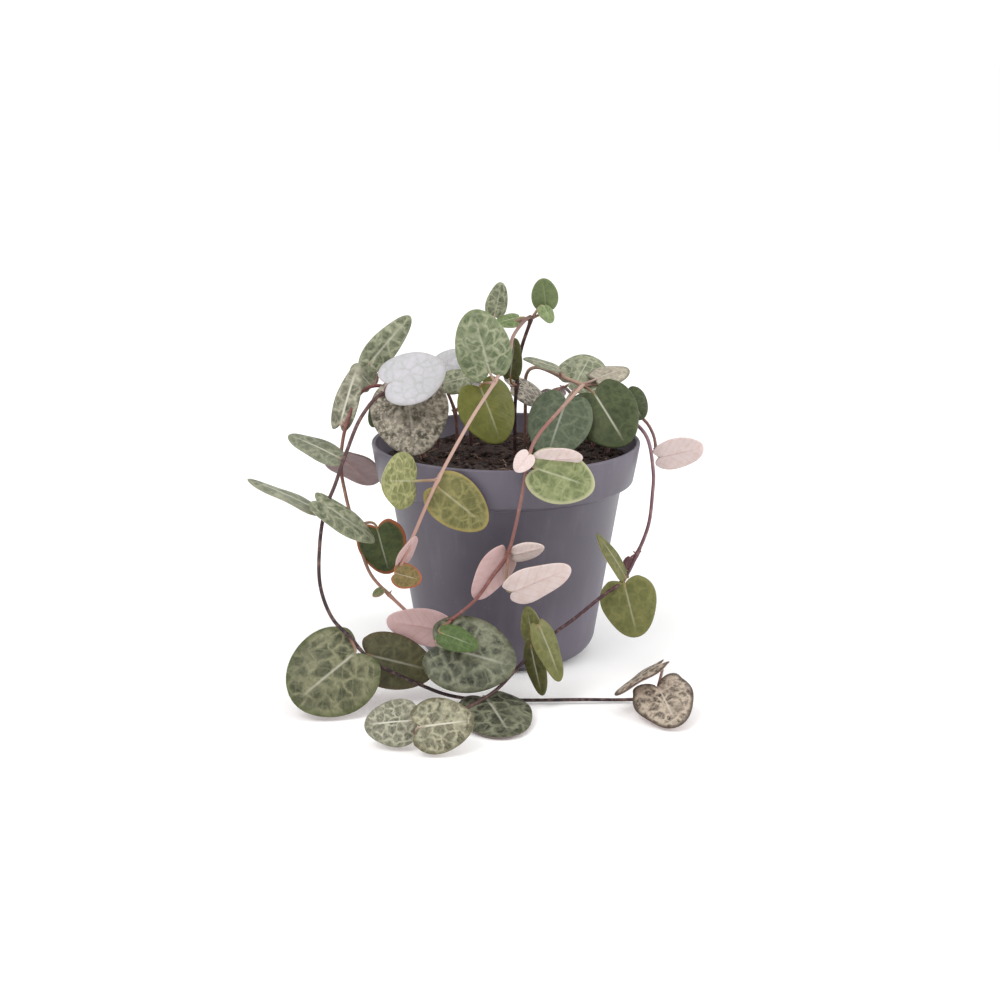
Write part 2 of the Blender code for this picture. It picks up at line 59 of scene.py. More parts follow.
# Pot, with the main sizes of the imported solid. Leans are in degrees.
POT_HEIGHT = 48.4
RIM_RADIUS = 29.7
COLLAR_FOOT_HEIGHT = 39.6
COLLAR_FOOT_RADIUS = 28.3
BODY_TOP_HEIGHT = 38.4
BODY_TOP_RADIUS = 25.8
BODY_FOOT_RADIUS = 20.2
BASE_CORNER = 5.4
BASE_MARGIN = 1.0
BODY_LEAN = 3
COLLAR_LEAN = 4
COLLAR_BULGE = 0.75
COLLAR_BULGE_RISE = 4.4
SHOULDER_INSET = 0.2
SHOULDER_DROP = 0.15
INNER_SHOULDER_RISE = 0.48
WALL = 0.8
LIP = 0.45
EASE = 0.5
POT_SIDES = 144
BASE_CORNER_STEPS = 12
INNER_CORNER_STEPS = 8
SHOULDER_STEPS = 4
COLLAR_FOOT_STEPS = 5
LIP_STEPS = 10
DRAIN_HOLES = 6
DRAIN_RADIUS = 2.4
DRAIN_CIRCLE = 11.5
DRAIN_DEPTH = 4.0
DRAIN_SIDES = 32

# Soil
SOIL_TOP = 44.0
SOIL_BOTTOM = 1.1
SOIL_RADIUS = 27.4
SOIL_FOOT_RADIUS = 14.6
SOIL_COLLAR_INSET = 0.4
SOIL_COLLAR_RISE = 2.0
SOIL_SHOULDER_INSET = 1.6
SOIL_CORNER_INSET = 1.4
SOIL_CORNER_RISE = 0.6
SOIL_SIDES = 128
SOIL_RINGS = 34
SOIL_TOP_BAND = 0.01
SOIL_SEED = 7

# The soil's lumps and its finer grain: waves to a millimetre, height, place in the noise, then
# how fast the layers of the noise weaken and tighten, and how many there are.
SOIL_DIP = 0.2
SOIL_WAVES = (
    (0.16, 0.7, (0.0, 0.0, 0.0), (1.0, 2.1, 3)),
    (0.75, 0.55, (9.0, 3.0, 1.0), (0.9, 2.2, 4)),
)

# Crumbs and fibres on the soil
CRUMBS = 620
CRUMB_MARGIN = 1.4
CRUMB_SIZES = (0.25, 0.95)
CRUMB_WEAR = (0.6, 1.0)
CRUMB_STRETCH = ((0.7, 1.3), (0.7, 1.3), (0.5, 0.9))
CRUMB_LIFT = 0.25
CRUMB_ROUGHNESS = 0.45
CRUMB_BUMPS = 1.6
CRUMB_NOISE_REACH = 90
FIBRES = 46
FIBRE_MARGIN = 4.0
FIBRE_RADIUS = 0.07
FIBRE_LENGTHS = (1.6, 4.2)
FIBRE_STEPS = 6
FIBRE_LIFT = 0.35
FIBRE_ARCH = 0.5
FIBRE_ARCH_SHARES = (0.4, 1.0)
FIBRE_KINK = 0.12
FIBRE_ROUNDNESS = 1

# Stems
STEM_RADIUS = 0.5
STEM_FULLNESS = 0.84
STEM_TAPER = 0.14
STEM_STEP = 1.0
STEM_ROUNDNESS = 4
LAST_SHARE = 0.999
STALK_RADIUS = 0.3
STALK_FULLNESS = 1.15
STALK_TAPER = 0.3
STALK_END = 0.5
STALK_STEPS = 10
STALK_EASE = 0.4
STALK_SETTING_OUT = 0.3
STALK_INTO_BLADE = 0.1
STALK_RED = "875850"
STALK_REDDENING = 3
STALK_GREENING = 0.6
ROOT_HEIGHTS = (38.0, 42.0, 45.0, 47.0)
NODE_SWELL = 0.42
NODE_REACH = 1.1
BUD_LENGTH = 1.2
BUD_RADIUS = 0.34
BUD_TIP = 0.2
BUD_SIDES = 10
BUD_TURN = 2.4
BUD_RISE = 0.7
BUD_SEAT = 0.45

# Leaves
LEAF_SIDES = 64
LEAF_RINGS = 18
LEAF_THICKNESS = 0.72
EDGE_FULLNESS = 0.6
EDGE_BAND = 0.01
BLADE_CENTRE = 0.42
TIP_SPREAD = 0.5
LOBE_FULLNESS = 0.5
TURN_EASE = 0.3
CUP = -0.22
ARCH = -0.07
MIDRIB_DIP = 0.16
MIDRIB_WIDTH = 0.045
MIDRIB_FADE = 4
NOTCH_START = 0.7
NOTCH_OPENING = 0.8
MARGIN_WAVE = 0.012
WAVE_COUNT = 5
WAVE_GROWTH = 3
WAVE_SHIFT = 9
LEAF_SEED = 11

# Leaf colours: how far they are greyed, then for the patch, the net, the underside and the
# edge how much they are deepened and which way they are tinted.
LEAF_GREYING = 0.18
UPPER_WARMTH = (1.08, 0.98, 0.86)
UNDER_WARMTH = (1.0, 0.97, 0.98)
LEAF_TONES = (
    (0.74, UPPER_WARMTH), (0.82, UPPER_WARMTH), (0.84, UNDER_WARMTH), (0.8, UPPER_WARMTH),
)

# Leaf pattern: how far apart in the noise the leaves lie, how much the pattern sways, how many
# cells of the net go to a leaf's length, and how its side veins slant, sway and stand apart.
PATTERN_SPREAD = 9.0
PATTERN_SWAY = 0.22
NET_SCALE = 5.0
FINE_NET_SCALE = 11.0
VEIN_SLANT = 0.85
VEIN_SWAY = 0.1
VEIN_HALF_GAP = 0.085

# Studio: the floor and the light of the air
FLOOR_RADIUS = 6000.0
FLOOR_SIDES = 64
FLOOR_DROP = 0.02
AIR_STRENGTH = 1.04

# Lamps: where they aim in metres, then name, place in metres, size in metres and watts
LAMP_AIM = (0, 0, 0.04)
LIGHTS = (
    ("key_light", (-0.4, -0.5, 0.8), 0.5, 3.4),
    ("side_light", (0.75, -0.1, 0.4), 0.4, 2.6),
)

# A leaf grows from route point number at. Its notch is where the stalk meets the blade, its
# tip is the point of the heart, and face is roughly the way that its upper side looks.
# Width is a share of the length from notch to tip, lobes says how far the heart's two lobes
# reach back past the notch, and point how far the tip is drawn out.
Leaf = namedtuple("Leaf", "at notch tip face width lobes point", defaults=(0.4, 0.2))
Vine = namedtuple("Vine", "name root route leaves")

# The values that each point of a leaf keeps for its material: four colours, its marks, its
# share of the way from the middle to the edge, its side, the strength of its midrib and its
# place on the flat leaf.
Layers = namedtuple("Layers", "patch net_colour below edge marks ring side rib flat")

VINES = (
    Vine("vine_front", (2.0, 3.0), (
        (2.0, 2.8, 54.0), (2.4, 2.4, 60.0), (3.3, 2.0, 68.0), (5.4, 0.0, 75.2),
        (4.0, -3.2, 75.4), (1.5, -6.5, 72.5), (0.6, -9.5, 69.0), (-2.4, -14.0, 64.0),
        (-7.5, -24.0, 57.7), (-14.0, -33.0, 47.3), (-18.5, -35.0, 37.3), (-21.8, -36.0, 29.5)), (
        Leaf(1, (1.0, -2.0, 63.0), (1.8, -2.4, 71.4), (-0.3, -1.0, 0.0), 0.56, 0.2, 0.4),
        Leaf(1, (1.5, 6.0, 59.2), (9.0, 11.5, 56.6), (0.0, -0.6, 0.8), 1.02),
        Leaf(3, (8.7, 1.0, 78.0), (8.0, 1.0, 84.0), (0.0, -1.0, 0.15), 0.98, 0.5, 0.1),
        Leaf(3, (8.2, -1.0, 78.0), (9.9, -3.0, 75.0), (0.6, -0.8, 0.0), 1.02),
        Leaf(3, (-2.5, 4.6, 75.6), (-0.9, 4.6, 82.6), (0.3, -1.0, 0.2), 0.7, 0.3, 0.35),
        Leaf(3, (2.6, 3.0, 75.0), (-2.4, 1.0, 74.2), (0.2, -0.4, 1.0), 0.93),
        Leaf(7, (-3.6, -13.0, 66.4), (-7.0, -13.0, 79.2), (0.1, -1.0, 0.25), 0.9, 0.4, 0.1),
        Leaf(7, (-5.4, -10.5, 61.7), (-0.8, -13.0, 50.6), (0.35, -0.9, 0.35), 1.06, 0.6, 0.15),
        Leaf(9, (-19.0, -33.0, 47.1), (-24.1, -43.0, 49.6), (0.8, -0.55, 0.1), 1.02),
        Leaf(9, (-13.9, -32.0, 45.4), (-4.0, -32.6, 37.4), (0.1, -1.0, 0.35), 0.85, 0.4, 0.15),
        Leaf(11, (-21.7, -35.0, 30.4), (-18.9, -35.0, 36.2), (-0.8, 0.5, 0.1), 0.84),
        Leaf(11, (-22.6, -36.8, 28.5), (-17.4, -38.3, 27.6), (0.0, -0.9, 0.4), 0.98))),
    Vine("vine_left", (-20.5, 6.0), (
        (-22.0, 6.0, 54.0), (-27.0, 4.5, 59.4), (-32.0, 2.0, 58.6), (-35.0, -3.0, 52.5),
        (-36.2, -5.5, 44.5), (-35.0, -9.5, 38.5), (-33.0, -14.0, 32.5), (-31.0, -18.0, 27.6),
        (-28.7, -22.5, 23.8), (-24.8, -26.5, 20.8), (-18.5, -30.0, 15.8)), (
        Leaf(3, (-36.4, -1.5, 52.4), (-32.8, 2.5, 65.2), (-0.3, -0.9, 0.0), 0.42, 0.3, 0.3),
        Leaf(4, (-36.5, -8.5, 46.2), (-47.2, -6.0, 51.3), (0.15, -0.35, 1.0), 0.65),
        Leaf(4, (-36.4, 1.5, 44.3), (-30.5, 13.0, 35.8), (0.2, 0.8, 0.5), 0.75),
        Leaf(6, (-27.5, -18.7, 33.0), (-25.0, -21.2, 23.7), (-0.2, -0.95, 0.2), 1.1, 0.6),
        Leaf(9, (-26.2, -27.5, 22.2), (-28.0, -29.0, 21.2), (0.0, -0.5, 0.8), 0.84),
        Leaf(10, (-13.0, -31.7, 14.6), (-25.0, -30.2, 16.6), (0.1, 0.9, 0.1), 0.7, 0.5, 0.15))),
    Vine("vine_long", (-18.5, 0.5), (
        (-20.5, 0.0, 54.0), (-26.2, -6.5, 60.0), (-30.8, -12.5, 56.4), (-33.8, -19.0, 49.8),
        (-35.8, -24.0, 44.2), (-37.8, -28.0, 39.2), (-38.6, -32.0, 33.0), (-38.4, -35.0, 25.5),
        (-36.0, -37.0, 19.2), (-32.2, -38.5, 15.4), (-27.8, -39.0, 10.4), (-22.0, -38.5, 7.0),
        (-13.9, -37.5, 2.9), (-8.5, -37.4, 1.6), (-5.0, -36.8, 1.1), (4.3, -36.7, 0.9),
        (15.4, -36.4, 0.9), (27.3, -36.1, 0.9), (31.3, -38.5, 3.4)), (
        Leaf(1, (-25.0, -9.5, 62.8), (-13.2, -8.0, 66.8), (0.0, -0.75, 0.7), 1.05, 0.3, 0.1),
        Leaf(1, (-21.6, -4.5, 60.8), (-19.5, -12.5, 48.0), (0.0, -0.95, 0.3), 1.12, 0.5),
        Leaf(5, (-39.4, -27.5, 39.4), (-53.6, -25.0, 46.4), (0.0, 0.05, 1.0), 0.52, 0.2, 0.4),
        Leaf(5, (-38.6, -29.5, 41.6), (-26.8, -30.0, 34.0), (-0.15, -0.2, 1.0), 0.72, 0.3),
        Leaf(9, (-31.4, -40.0, 12.1), (-43.2, -46.5, 4.2), (0.0, -0.8, 0.55), 1.21, 0.6, 0.05),
        Leaf(9, (-28.4, -36.7, 10.8), (-14.8, -35.0, 6.8), (0.05, -0.85, 0.5), 0.84, 0.4, 0.15),
        Leaf(14, (-4.2, -42.0, 3.3), (0.9, -57.0, 1.8), (0.0, -0.15, 1.0), 0.98),
        Leaf(18, (31.4, -42.5, 5.4), (34.2, -53.0, 1.9), (-0.1, -0.75, 0.65), 1.1, 1.4, 0.3),
        Leaf(18, (31.4, -39.0, 9.4), (21.9, -42.5, 4.8), (0.0, 0.25, 1.0), 0.65, 0.9, 0.4))),
    Vine("vine_centre", (4.5, 14.5), (
        (4.5, 14.6, 54.0), (4.7, 13.4, 60.5), (7.2, 8.6, 63.0), (12.4, 5.8, 61.4),
        (16.8, 4.6, 59.8), (16.2, -2.0, 60.4), (11.0, -15.5, 57.8), (6.6, -25.0, 54.8),
        (4.6, -31.5, 51.8), (3.0, -33.0, 43.0), (0.4, -33.5, 32.0), (-3.0, -34.0, 26.8),
        (-6.5, -34.5, 22.0), (-11.5, -35.5, 18.0)), (
        Leaf(3, (11.0, 3.6, 63.8), (4.0, 2.2, 66.6), (0.0, -0.3, 1.0), 0.56),
        Leaf(4, (16.0, 7.5, 60.2), (19.6, 15.5, 65.0), (0.0, -0.6, 0.8), 1.16, 0.3, 0.1),
        Leaf(4, (20.4, 6.5, 60.8), (27.6, 11.0, 62.8), (0.0, -0.4, 0.9), 0.85),
        Leaf(4, (13.2, -0.5, 57.0), (8.8, -9.6, 46.8), (-0.1, -0.85, 0.4), 0.98, 0.6, 0.15),
        Leaf(4, (19.8, 1.4, 58.0), (26.4, -4.8, 48.4), (0.1, -0.9, 0.35), 1.15, 0.7),
        Leaf(4, (27.4, 10.0, 57.0), (30.8, 7.0, 51.6), (0.3, -0.9, 0.2), 1.02),
        Leaf(8, (6.2, -33.0, 49.6), (18.0, -34.5, 46.2), (0.0, -0.85, 0.5), 0.95, 0.3, 0.15),
        Leaf(8, (7.0, -31.6, 51.2), (15.6, -31.8, 52.2), (0.0, 0.8, 0.4), 0.7),
        Leaf(8, (4.5, -33.2, 52.6), (1.8, -34.5, 49.4), (0.3, 0.9, 0.2), 0.93),
        Leaf(10, (-0.3, -32.6, 31.4), (-6.8, -33.0, 22.2), (-0.4, 0.85, 0.1), 0.7),
        Leaf(10, (1.6, -32.5, 31.4), (7.8, -33.0, 33.4), (0.0, 0.85, 0.3), 0.7),
        Leaf(10, (1.4, -35.5, 24.4), (13.0, -36.0, 30.2), (0.0, 0.8, 0.5), 0.76, 0.4, 0.5),
        Leaf(13, (-13.9, -39.0, 13.6), (1.8, -43.0, 10.8), (0.05, -0.8, 0.6), 1.02, 0.4, 0.15),
        Leaf(13, (-13.0, -41.2, 17.0), (-5.8, -44.0, 15.2), (0.1, -0.8, 0.6), 0.7))),
    Vine("vine_right", (23.0, 5.0), (
        (24.0, 4.6, 51.0), (27.5, 2.6, 52.2), (31.2, -0.6, 49.0), (32.4, -4.5, 42.4),
        (32.0, -8.5, 38.2), (30.8, -14.0, 32.6), (28.0, -20.0, 27.8), (24.6, -26.0, 23.6),
        (20.6, -28.5, 21.4), (14.2, -31.5, 17.0), (10.4, -33.5, 14.8), (6.2, -36.0, 12.0),
        (1.8, -38.4, 8.0), (-1.8, -41.5, 5.2), (-5.3, -46.5, 4.5), (-8.9, -53.0, 4.8),
        (-13.2, -58.5, 4.2), (-17.8, -61.5, 3.2)), (
        Leaf(6, (26.6, -19.5, 26.6), (25.2, -20.5, 24.4), (-0.5, -0.8, 0.0), 0.84),
        Leaf(7, (24.9, -25.5, 24.6), (19.6, -24.5, 33.8), (0.75, -0.45, 0.3), 0.46, 0.2, 0.4),
        Leaf(7, (25.0, -27.0, 23.0), (27.7, -29.5, 12.2), (-0.1, -0.95, 0.2), 1.05, 0.5, 0.35),
        Leaf(11, (5.9, -34.2, 12.3), (4.1, -33.8, 20.4), (-0.5, -0.8, 0.1), 0.65, 0.2, 0.4),
        Leaf(11, (6.8, -37.0, 17.0), (11.6, -39.5, 6.2), (0.6, -0.75, 0.2), 0.5, 0.3, 0.3),
        Leaf(11, (5.2, -37.5, 13.0), (7.2, -40.5, 3.2), (-0.5, -0.8, 0.2), 0.48, 0.2, 0.3),
        Leaf(17, (-18.6, -60.0, 5.4), (-28.0, -60.0, 4.7), (-0.1, -0.75, 0.66), 1.08, 0.5, 0.3),
        Leaf(17, (-16.6, -63.5, 5.5), (-6.4, -63.5, 7.0), (0.1, -0.8, 0.6), 1.1, 0.7, 0.15))),
    Vine("sprig_right", (20.0, 12.5), (
        (22.5, 12.0, 50.5), (27.6, 10.4, 52.4), (31.2, 8.6, 51.0), (33.2, 6.8, 48.0),
        (33.8, 4.6, 44.6)), (
        Leaf(4, (34.6, 4.0, 43.6), (44.2, 4.0, 46.2), (0.0, 0.8, 0.35), 0.85, 0.2, 0.0),
        Leaf(1, (26.8, 13.5, 54.0), (23.0, 21.0, 51.5), (0.0, 0.2, 1.0), 0.84))),
    Vine("crown_left", (-15.5, 10.5), (
        (-17.0, 10.4, 53.0), (-22.0, 10.0, 57.8), (-28.2, 9.4, 62.0)), (
        Leaf(2, (-30.5, 8.4, 64.0), (-21.4, 10.0, 74.4), (0.1, -0.8, 0.3), 0.47, 0.5, 0.3),
        Leaf(2, (-30.6, 11.0, 58.6), (-34.6, 12.0, 63.0), (0.0, -0.9, 0.3), 1.02),
        Leaf(1, (-27.0, 10.0, 55.6), (-30.4, 8.0, 49.6), (-0.3, -0.9, 0.1), 0.75))),
    Vine("crown_silver", (-11.0, 7.5), (
        (-11.4, 7.2, 53.0), (-13.5, 6.5, 59.0)), (
        Leaf(1, (-14.7, 8.0, 61.6), (-9.8, 10.0, 66.6), (0.0, -0.8, 0.5), 1.02),
        Leaf(1, (-13.5, 3.0, 60.4), (-6.8, 3.0, 62.4), (0.0, -0.7, 0.7), 0.93),
        Leaf(0, (-8.0, 10.5, 56.6), (-2.6, 17.5, 57.4), (0.0, 0.0, 1.0), 0.88))),
    Vine("vine_back_left", (-8.0, 14.0), (
        (-9.5, 16.5, 53.5), (-13.0, 23.5, 56.0), (-17.5, 30.0, 51.5), (-20.5, 33.5, 43.0),
        (-21.5, 34.0, 33.0), (-21.0, 34.5, 23.0), (-19.0, 35.0, 13.0), (-15.0, 35.5, 5.0),
        (-9.0, 36.0, 1.6), (-2.0, 36.0, 0.9), (5.0, 35.0, 0.9)), (
        Leaf(1, (-16.0, 22.0, 57.5), (-24.5, 19.5, 56.0), (0.0, -0.2, 1.0), 0.88),
        Leaf(1, (-10.5, 26.0, 56.6), (-4.5, 33.0, 54.0), (0.2, 0.5, 0.9), 0.88),
        Leaf(3, (-21.5, 35.0, 41.6), (-22.5, 40.5, 34.5), (-0.2, 0.9, 0.4), 0.84),
        Leaf(3, (-18.0, 34.5, 41.6), (-10.5, 35.5, 34.0), (0.2, 0.9, 0.4), 0.88),
        Leaf(5, (-20.5, 36.5, 21.8), (-17.5, 42.5, 15.5), (-0.1, 0.9, 0.4), 0.88),
        Leaf(8, (-8.0, 38.5, 3.6), (-3.0, 46.0, 1.6), (0.0, 0.3, 1.0), 0.93),
        Leaf(10, (7.5, 34.0, 3.0), (15.5, 31.0, 1.8), (0.2, 0.1, 1.0), 0.93),
        Leaf(10, (5.5, 37.5, 3.2), (10.5, 44.0, 1.8), (0.1, 0.3, 1.0), 0.93))),
    Vine("vine_back_right", (9.0, 15.5), (
        (10.5, 18.0, 53.0), (13.5, 25.0, 55.2), (17.0, 31.0, 50.0), (19.6, 33.6, 41.5),
        (21.0, 34.0, 32.0), (21.5, 34.0, 22.5)), (
        Leaf(1, (16.0, 23.5, 56.4), (24.5, 21.5, 55.0), (0.1, -0.2, 1.0), 0.88),
        Leaf(1, (11.0, 28.5, 53.8), (8.5, 36.5, 49.0), (-0.2, 0.7, 0.8), 0.84),
        Leaf(3, (20.5, 35.5, 40.4), (22.0, 41.0, 33.5), (0.2, 0.9, 0.4), 0.88),
        Leaf(3, (17.0, 34.6, 40.6), (9.5, 35.6, 34.0), (-0.2, 0.9, 0.4), 0.84),
        Leaf(5, (20.5, 34.5, 20.6), (19.0, 38.0, 12.0), (0.1, 0.9, 0.3), 0.84),
        Leaf(5, (19.6, 34.6, 22.6), (11.5, 33.5, 20.5), (-0.1, 0.9, 0.4), 0.84))),
)

# A leaf's finish: the patches of its upper side, the pale net between them, its underside and
# its edge, then how strong the net, the speckle, the edge and the midrib are.
Finish = namedtuple("Finish", "patch net_colour below edge net speckle edging rib", defaults=(0.5,))

FINISHES = {
    "plain green": Finish("5A7244", "869A64", "C9BBA8", "788E5C", 0.25, 0.1, 0.4, 0.2),
    "folded green": Finish("5C7A42", "A0B685", "D2CBB8", "8CA372", 0.5, 0.2, 0.5),
    "silver green": Finish("56664C", "A9B59C", "CFC5BC", "8C997C", 0.8, 0.3, 0.4),
    "green net": Finish("566B48", "A4B296", "CFC5BC", "7E9468", 0.8, 0.2, 0.5, 0.3),
    "bright olive": Finish("5C6616", "858A30", "B9AE84", "767F2A", 0.3, 0.1, 0.3, 0.4),
    # Dark olive: on vine_front's folded top leaf its darkness is painted shade, as that leaf stands
    # in shadow.
    "dark olive": Finish("3B4016", "666A30", "B59C92", "5C602E", 0.35, 0.1, 0.5),
    "yellow net": Finish("6C783E", "B0B882", "D6C8B4", "98A262", 0.75, 0.3, 0.5, 0.3),
    "olive net": Finish("5E6430", "A09E62", "CDB9A4", "A69A50", 0.55, 0.2, 0.8, 0.35),
    "red olive": Finish("665C2A", "9C8850", "C4A594", "B4542C", 0.45, 0.35, 1.0),
    "silver speckle": Finish("4A4942", "BEBDB5", "CBB9B4", "8E8D84", 0.85, 1.0, 0.3),
    # This finish's near-white bluish patch is partly the leaf's silver marbling and partly a painted
    # highlight: the glare of the light on the waxy upper side.
    "silver and painted glare": Finish("CED6EE", "9AA6A4", "DCCED0", "B2B6C4", 0.4, 0.1, 0.5, 0.2),
    "ragged silver": Finish("8E8C80", "BDBBB0", "CFC5BC", "6E6E60", 0.5, 0.7, 0.8),
    "grey speckle": Finish("423E2E", "B4B2A8", "C9B7B2", "86857A", 0.55, 1.0, 0.3, 0.3),
    "dark net": Finish("262C1E", "828C78", "B99F9B", "4E563C", 0.9, 0.3, 0.5, 0.6),
    "dark olive net": Finish("323B1C", "868C6E", "B99F9B", "50602E", 0.85, 0.25, 0.6, 0.6),
    "bronze": Finish("42452A", "6C6E4A", "B08F88", "54482E", 0.5, 0.2, 0.6, 0.4),
    "silver brown": Finish("40362F", "BDB4A9", "BFA5A0", "4A3C32", 0.95, 0.6, 0.9, 0.6),
    "silver net": Finish("5C6252", "B6BCAC", "CFC0BA", "787E6C", 0.8, 0.3, 0.5, 1.0),
    "pale net": Finish("545642", "B2B6A0", "CFC0BA", "605E3E", 0.8, 0.25, 0.6, 1.0),
    "lime net": Finish("5C7040", "A3B280", "DAD2BE", "B4BC96", 0.6, 0.2, 0.9, 0.4),
    "bright green": Finish("42602A", "6E8C4C", "C6C09C", "50702E", 0.4, 0.15, 0.4, 0.3),
    "soft olive": Finish("5F672C", "8A8F52", "C7B49A", "7A7F44", 0.4, 0.15, 0.6, 0.4),
    "hanging green": Finish("42563F", "7E9078", "C6B8AE", "62755C", 0.4, 0.25, 0.4, 0.5),
    # Hanging dark: on crown_left's small back leaf its darkness is painted shade, as that leaf lies
    # in shadow.
    "hanging dark": Finish("314120", "6C7D50", "BCA99C", "4A5C32", 0.3, 0.15, 0.4, 0.9),
    "grey green": Finish("657260", "ABB5A0", "D4CBBF", "8B9680", 0.5, 0.3, 0.5, 0.8),
    "orange edge": Finish("2B3B14", "5E7032", "BFA088", "A0501E", 0.3, 0.15, 1.0, 0.5),
    "pink below": Finish("55643A", "909B70", "D2AEAC", "C09A94", 0.6, 0.3, 0.6),
    "white below": Finish("5E6C3A", "9AA47C", "E6D3CE", "D2B6AE", 0.6, 0.3, 0.5),
    "brown below": Finish("4C5636", "828B68", "8E7472", "7A5E58", 0.5, 0.3, 0.6),
    "bud": Finish("6E4650", "9A7480", "A57C84", "6E4650", 0.2, 0.2, 0.3),
}

# The finish of each leaf, in the order of the vine's leaves.
LEAF_FINISHES = {
    "vine_front": (
        # The first leaf, folded at the top, is dark olive as painted shade: it stands in shadow.
        "dark olive", "silver speckle", "plain green", "folded green", "silver green",
        "folded green", "green net", "bright olive", "yellow net", "olive net", "pink below",
        "red olive"),
    "vine_left": (
        "silver net", "grey green", "brown below", "orange edge", "pink below", "pink below"),
    "vine_long": (
        # The first leaf's near-white silver patch is partly painted glare, where it faces the light.
        "silver and painted glare", "grey speckle", "grey green", "silver green", "dark olive net", "bronze",
        "dark net", "silver brown", "silver brown"),
    "vine_centre": (
        "grey green", "silver green", "ragged silver", "hanging green", "hanging dark",
        "hanging dark", "lime net", "white below", "white below", "pink below", "white below",
        "white below", "dark net", "bright green"),
    "vine_right": (
        "bud", "soft olive", "soft olive", "soft olive", "soft olive", "dark olive",
        "silver net", "pale net"),
    "sprig_right": ("white below", "hanging green"),
    # Its third leaf, small and behind, is dark as painted shade: it lies in shadow.
    "crown_left": ("silver green", "grey green", "hanging dark"),
    # crown_silver's first leaf wears the silver finish whose near-white patch is partly painted
    # glare.
    "crown_silver": ("silver and painted glare", "silver green", "grey speckle"),
    "vine_back_left": (
        "silver net", "green net", "dark olive net", "silver green", "dark net", "pale net",
        "soft olive", "dark net"),
    "vine_back_right": (
        "silver green", "dark olive net", "green net", "dark net", "soft olive", "silver net"),
}

# The colours of each stem, from the soil to its far end.
STEM_COLOURS = {
    # vine_front's first three colours, dark, are painted shade on its rising part, which stands in
    # shadow; then it turns beige.
    "vine_front": ("3A2422", "2E1D1E", "3A2322", "A98A80", "AF9286", "AA887C", "A27A70"),
    "vine_left": ("5A3A38", "6A4240", "6B3F3E", "7A5248", "6E5240", "8A6A5A", "A5746C"),
    "vine_long": ("6A4A46", "5C4442", "4A3234", "3A282C", "2A2024", "2A1C20", "241A1E", "3A2426"),
    "vine_centre": ("5A3A36", "7A5E50", "9E8272", "A08476", "8A5A54", "86625C", "744844", "7A4C48"),
    "vine_right": ("7A6468", "7C626A", "6C4A52", "42282E", "382428", "483432", "6E5048"),
    "sprig_right": ("7A5A58", "8A6468", "7A5A50"),
    "crown_left": ("4A3432", "5A4440", "6A5A4A"),
    "crown_silver": ("4A3432", "6A4A46", "7A5A50"),
    "vine_back_left": ("4A3230", "5A3A38", "3A262A", "2E2024", "5A3A38"),
    "vine_back_right": ("4A3230", "5A3A38", "4A2E30", "6A4640"),
}


def rgb(code):
    """A linear colour from six hexadecimal digits."""
    shares = [int(code[i:i + 2], 16) / 255 for i in (0, 2, 4)]
    linear = [s / 12.92 if s <= 0.04045 else ((s + 0.055) / 1.055) ** 2.4 for s in shares]
    return (*linear, 1.0)


def tint(code):
    """The same colour as a vector, for mixing."""
    return Vector(rgb(code)[:3])


class Wire:
    """An output of a shader node. Arithmetic on it adds Math nodes."""

    def __init__(self, shader, socket):
        self.shader = shader
        self.socket = socket

    def maths(self, operation, first, second):
        return self.shader.node("ShaderNodeMath", {"operation": operation}, {0: first, 1: second})

    def __add__(self, other):
        return self.maths("ADD", self, other)

    def __radd__(self, other):
        return self.maths("ADD", other, self)

    def __sub__(self, other):
        return self.maths("SUBTRACT", self, other)

    def __rsub__(self, other):
        return self.maths("SUBTRACT", other, self)

    def __mul__(self, other):
        return self.maths("MULTIPLY", self, other)

    def __rmul__(self, other):
        return self.maths("MULTIPLY", other, self)

    def __abs__(self):
        return self.maths("ABSOLUTE", self, 0.0)

    def highest(self, other):
        return self.maths("MAXIMUM", self, other)

    def output(self, number):
        """Another output of the same node."""
        return Wire(self.shader, self.socket.node.outputs[number])


class Shader:
    """A material with its Principled shader. Keywords set that shader's own sockets."""

    def __init__(self, name, **constants):
        self.material = bpy.data.materials.new(name)
        self.material.use_nodes = True
        self.tree = self.material.node_tree
        self.surface = self.tree.nodes["Principled BSDF"]
        for socket, value in constants.items():
            self.surface.inputs[socket.replace("_", " ").title()].default_value = value

    def node(self, kind, settings, values, output=0):
        """Any node: its settings first, then the values or links of its sockets."""
        item = self.tree.nodes.new(kind)
        for name, value in settings.items():
            setattr(item, name, value)
        for key, value in values.items():
            self.feed(item.inputs[key], value)
        return Wire(self, item.outputs[output])

    def feed(self, socket, value):
        if isinstance(value, Wire):
            self.tree.links.new(value.socket, socket)
        else:
            socket.default_value = value

    def set(self, socket, value):
        self.feed(self.surface.inputs[socket], value)

    def attribute(self, name, output="Color"):
        return self.node("ShaderNodeAttribute", {"attribute_name": name}, {}, output)

    def place(self):
        return self.node("ShaderNodeTexCoord", {}, {}, "Object")

    def mix(self, factor, first, second, blend="MIX"):
        settings = {"data_type": "RGBA", "blend_type": blend}
        return self.node("ShaderNodeMix", settings, {0: factor, 6: first, 7: second}, 2)

    def noise(self, place, scale, detail=3.0, roughness=0.55):
        values = {"Vector": place, "Scale": scale, "Detail": detail, "Roughness": roughness}
        return self.node("ShaderNodeTexNoise", {}, values)

    def ramp(self, value, low, high, start=0.0, end=1.0):
        """A smooth rise from start to end while the value goes from low to high."""
        settings = {"interpolation_type": "SMOOTHSTEP"}
        values = {"Value": value, "From Min": low, "From Max": high, "To Min": start,
                  "To Max": end}
        return self.node("ShaderNodeMapRange", settings, values)

    def bump(self, height, depth, strength):
        """Fine relief, with its depth in millimetres."""
        values = {"Height": height, "Distance": depth * MM, "Strength": strength}
        self.set("Normal", self.node("ShaderNodeBump", {}, values))


